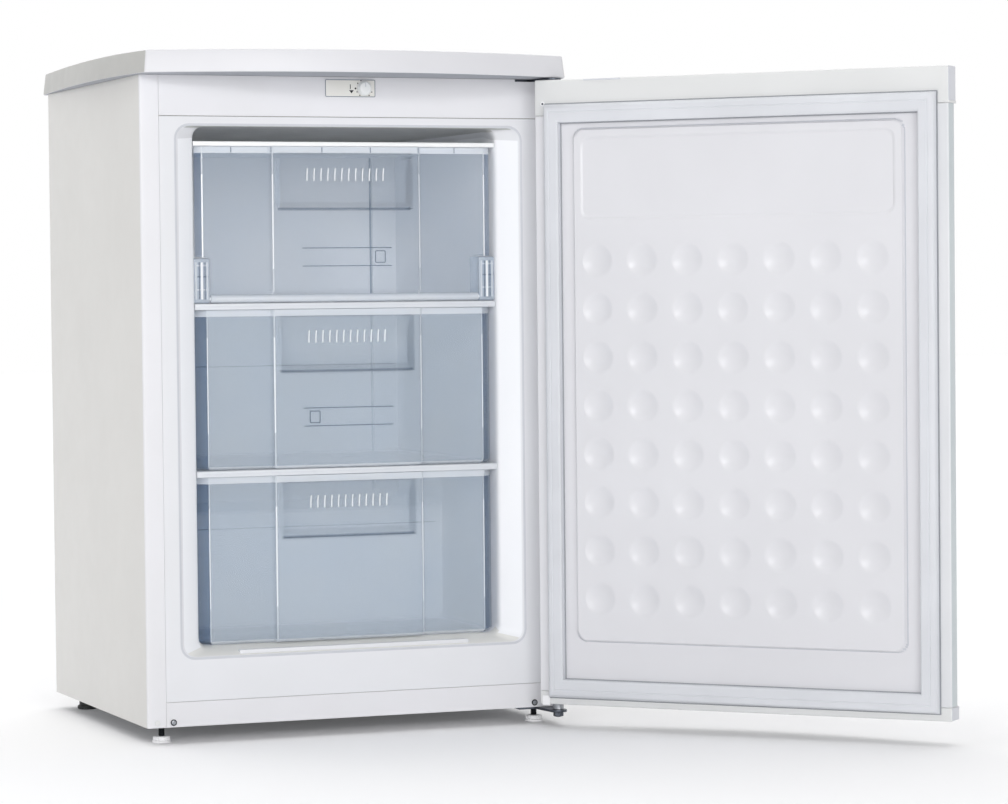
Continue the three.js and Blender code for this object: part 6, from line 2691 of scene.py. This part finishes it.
@dataclass
class Studio:
    """Pale floor, soft light and the camera."""

    eye: Spot = (-1453.05, -4193.64, 555.19)
    yaw: float = 21.532
    pitch: float = -1.818
    roll: float = -0.580
    lens: float = 126.64
    sensor: float = 36.0
    sight: float = 100.0
    ambient: float = 0.36
    key_strength: float = 1.4
    key_spread: float = 36.0
    spark_strength: float = 0.42
    spark_spread: float = 7.0
    sky_strength: float = 2.0
    sky_spread: float = 84.0
    floor_size: float = 40.0
    floor_drop: float = 0.0002
    floor_glow: float = 0.062

    def build(self) -> None:
        """Sets up the camera, the light and the floor."""
        self.camera()
        self.world()
        self.sun("key_lamp", (-550, -3800, 350), self.key_strength, self.key_spread)
        self.sun("spark_lamp", (-2500, -2984, 892), self.spark_strength, self.spark_spread)
        self.sun("sky_lamp", (-300, 1450, 3400), self.sky_strength, self.sky_spread)
        self.floor()
        bpy.context.scene.view_settings.view_transform = "Standard"

    def camera(self) -> None:
        """Places the camera: turned right by the yaw, dipped by the pitch and rolled."""
        bpy.ops.object.camera_add()
        camera = bpy.context.active_object
        camera.name = "camera"
        turn = Matrix.Rotation(-math.radians(self.yaw), 4, "Z")
        turn = turn @ Matrix.Rotation(math.radians(90 + self.pitch), 4, "X")
        turn = turn @ Matrix.Rotation(math.radians(self.roll), 4, "Z")
        camera.matrix_world = Matrix.Translation(CABINET @ Vector(self.eye)) @ turn
        camera.data.lens = self.lens
        camera.data.sensor_width = self.sensor
        camera.data.clip_end = self.sight
        bpy.context.scene.camera = camera

    def sun(self, name: str, spot: Spot, strength: float, spread: float) -> None:
        """Lights everything evenly and softly from the side of a spot.

        Args:
            name: Name of the lamp.
            spot: Spot on the side that the light comes from.
            strength: Strength of the light.
            spread: Angle that the lamp fills, in degrees.
        """
        turn = Vector(spot).to_track_quat("Z", "Y").to_euler()
        bpy.ops.object.light_add(type="SUN", location=CABINET @ Vector(spot), rotation=turn)
        lamp = bpy.context.active_object
        lamp.name = name
        lamp.data.energy = strength
        lamp.data.angle = math.radians(spread)

    def world(self) -> None:
        """Lights evenly from all round, and shows white to the eye and in reflections."""
        world = bpy.data.worlds.new("studio_air")
        bpy.context.scene.world = world
        world.use_nodes = True
        nodes, links = world.node_tree.nodes, world.node_tree.links
        background = nodes["Background"]
        seen = self.seen(world.node_tree)
        strength = nodes.new("ShaderNodeMapRange")
        strength.inputs["To Min"].default_value = self.ambient
        strength.inputs["To Max"].default_value = 1.0
        links.new(seen, strength.inputs["Value"])
        links.new(strength.outputs["Result"], background.inputs["Strength"])
        background.inputs["Color"].default_value = (1, 1, 1, 1)

    def seen(self, tree: bpy.types.NodeTree) -> Socket:
        """Flags the rays that show a surface: straight, in a reflection or through a clear piece.

        Args:
            tree: Node tree that the flag is for.

        Returns:
            The flag, 0 or 1.
        """
        rays = tree.nodes.new("ShaderNodeLightPath")
        flag = rays.outputs["Is Camera Ray"]
        for other in ("Is Glossy Ray", "Is Transmission Ray"):
            larger = tree.nodes.new("ShaderNodeMath")
            larger.operation = "MAXIMUM"
            tree.links.new(flag, larger.inputs[0])
            tree.links.new(rays.outputs[other], larger.inputs[1])
            flag = larger.outputs["Value"]
        return flag

    def floor(self) -> None:
        """Lays a pale floor that keeps the shadow and reads white around it."""
        bpy.ops.mesh.primitive_plane_add(size=self.floor_size, location=(0, 0, -self.floor_drop))
        floor = added("studio_floor")
        bpy.ops.object.transform_apply(location=True, rotation=True, scale=True)
        bench = Bench("studio_floor")
        tone = bench.spread(bench.grain(0.6), (0.3, 0.7), (0, 1))
        bench.use(Base_Color=bench.two_tone(tone, (248, 248, 249), (246, 246, 247)), Roughness=0.8)
        glow = bench.spread(self.seen(bench.tree), (0, 1), (0, self.floor_glow))
        bench.use(Specular_IOR_Level=0.1, Emission_Color=(1, 1, 1, 1), Emission_Strength=glow)
        floor.data.materials.append(bench.material)


def main() -> None:
    """Builds the sub-assemblies in order."""
    logging.basicConfig(level=logging.INFO, format="%(message)s")
    Studio().build()
    Shell().build()
    Liner().build()
    Shelves().build()
    Drawer(node="lower_drawer").build()
    Drawer(node="middle_drawer", mark_z=386.9, badge_x=-45).build()
    Flap(node="flap", mark_z=586.9, badge_x=44, turn_at=187).build()
    FlapBrackets().build()
    DoorLeaf().build()
    DoorLining().build()
    Hardware().build()
    CoolingSet().build()


if __name__ == "__main__":
    main()
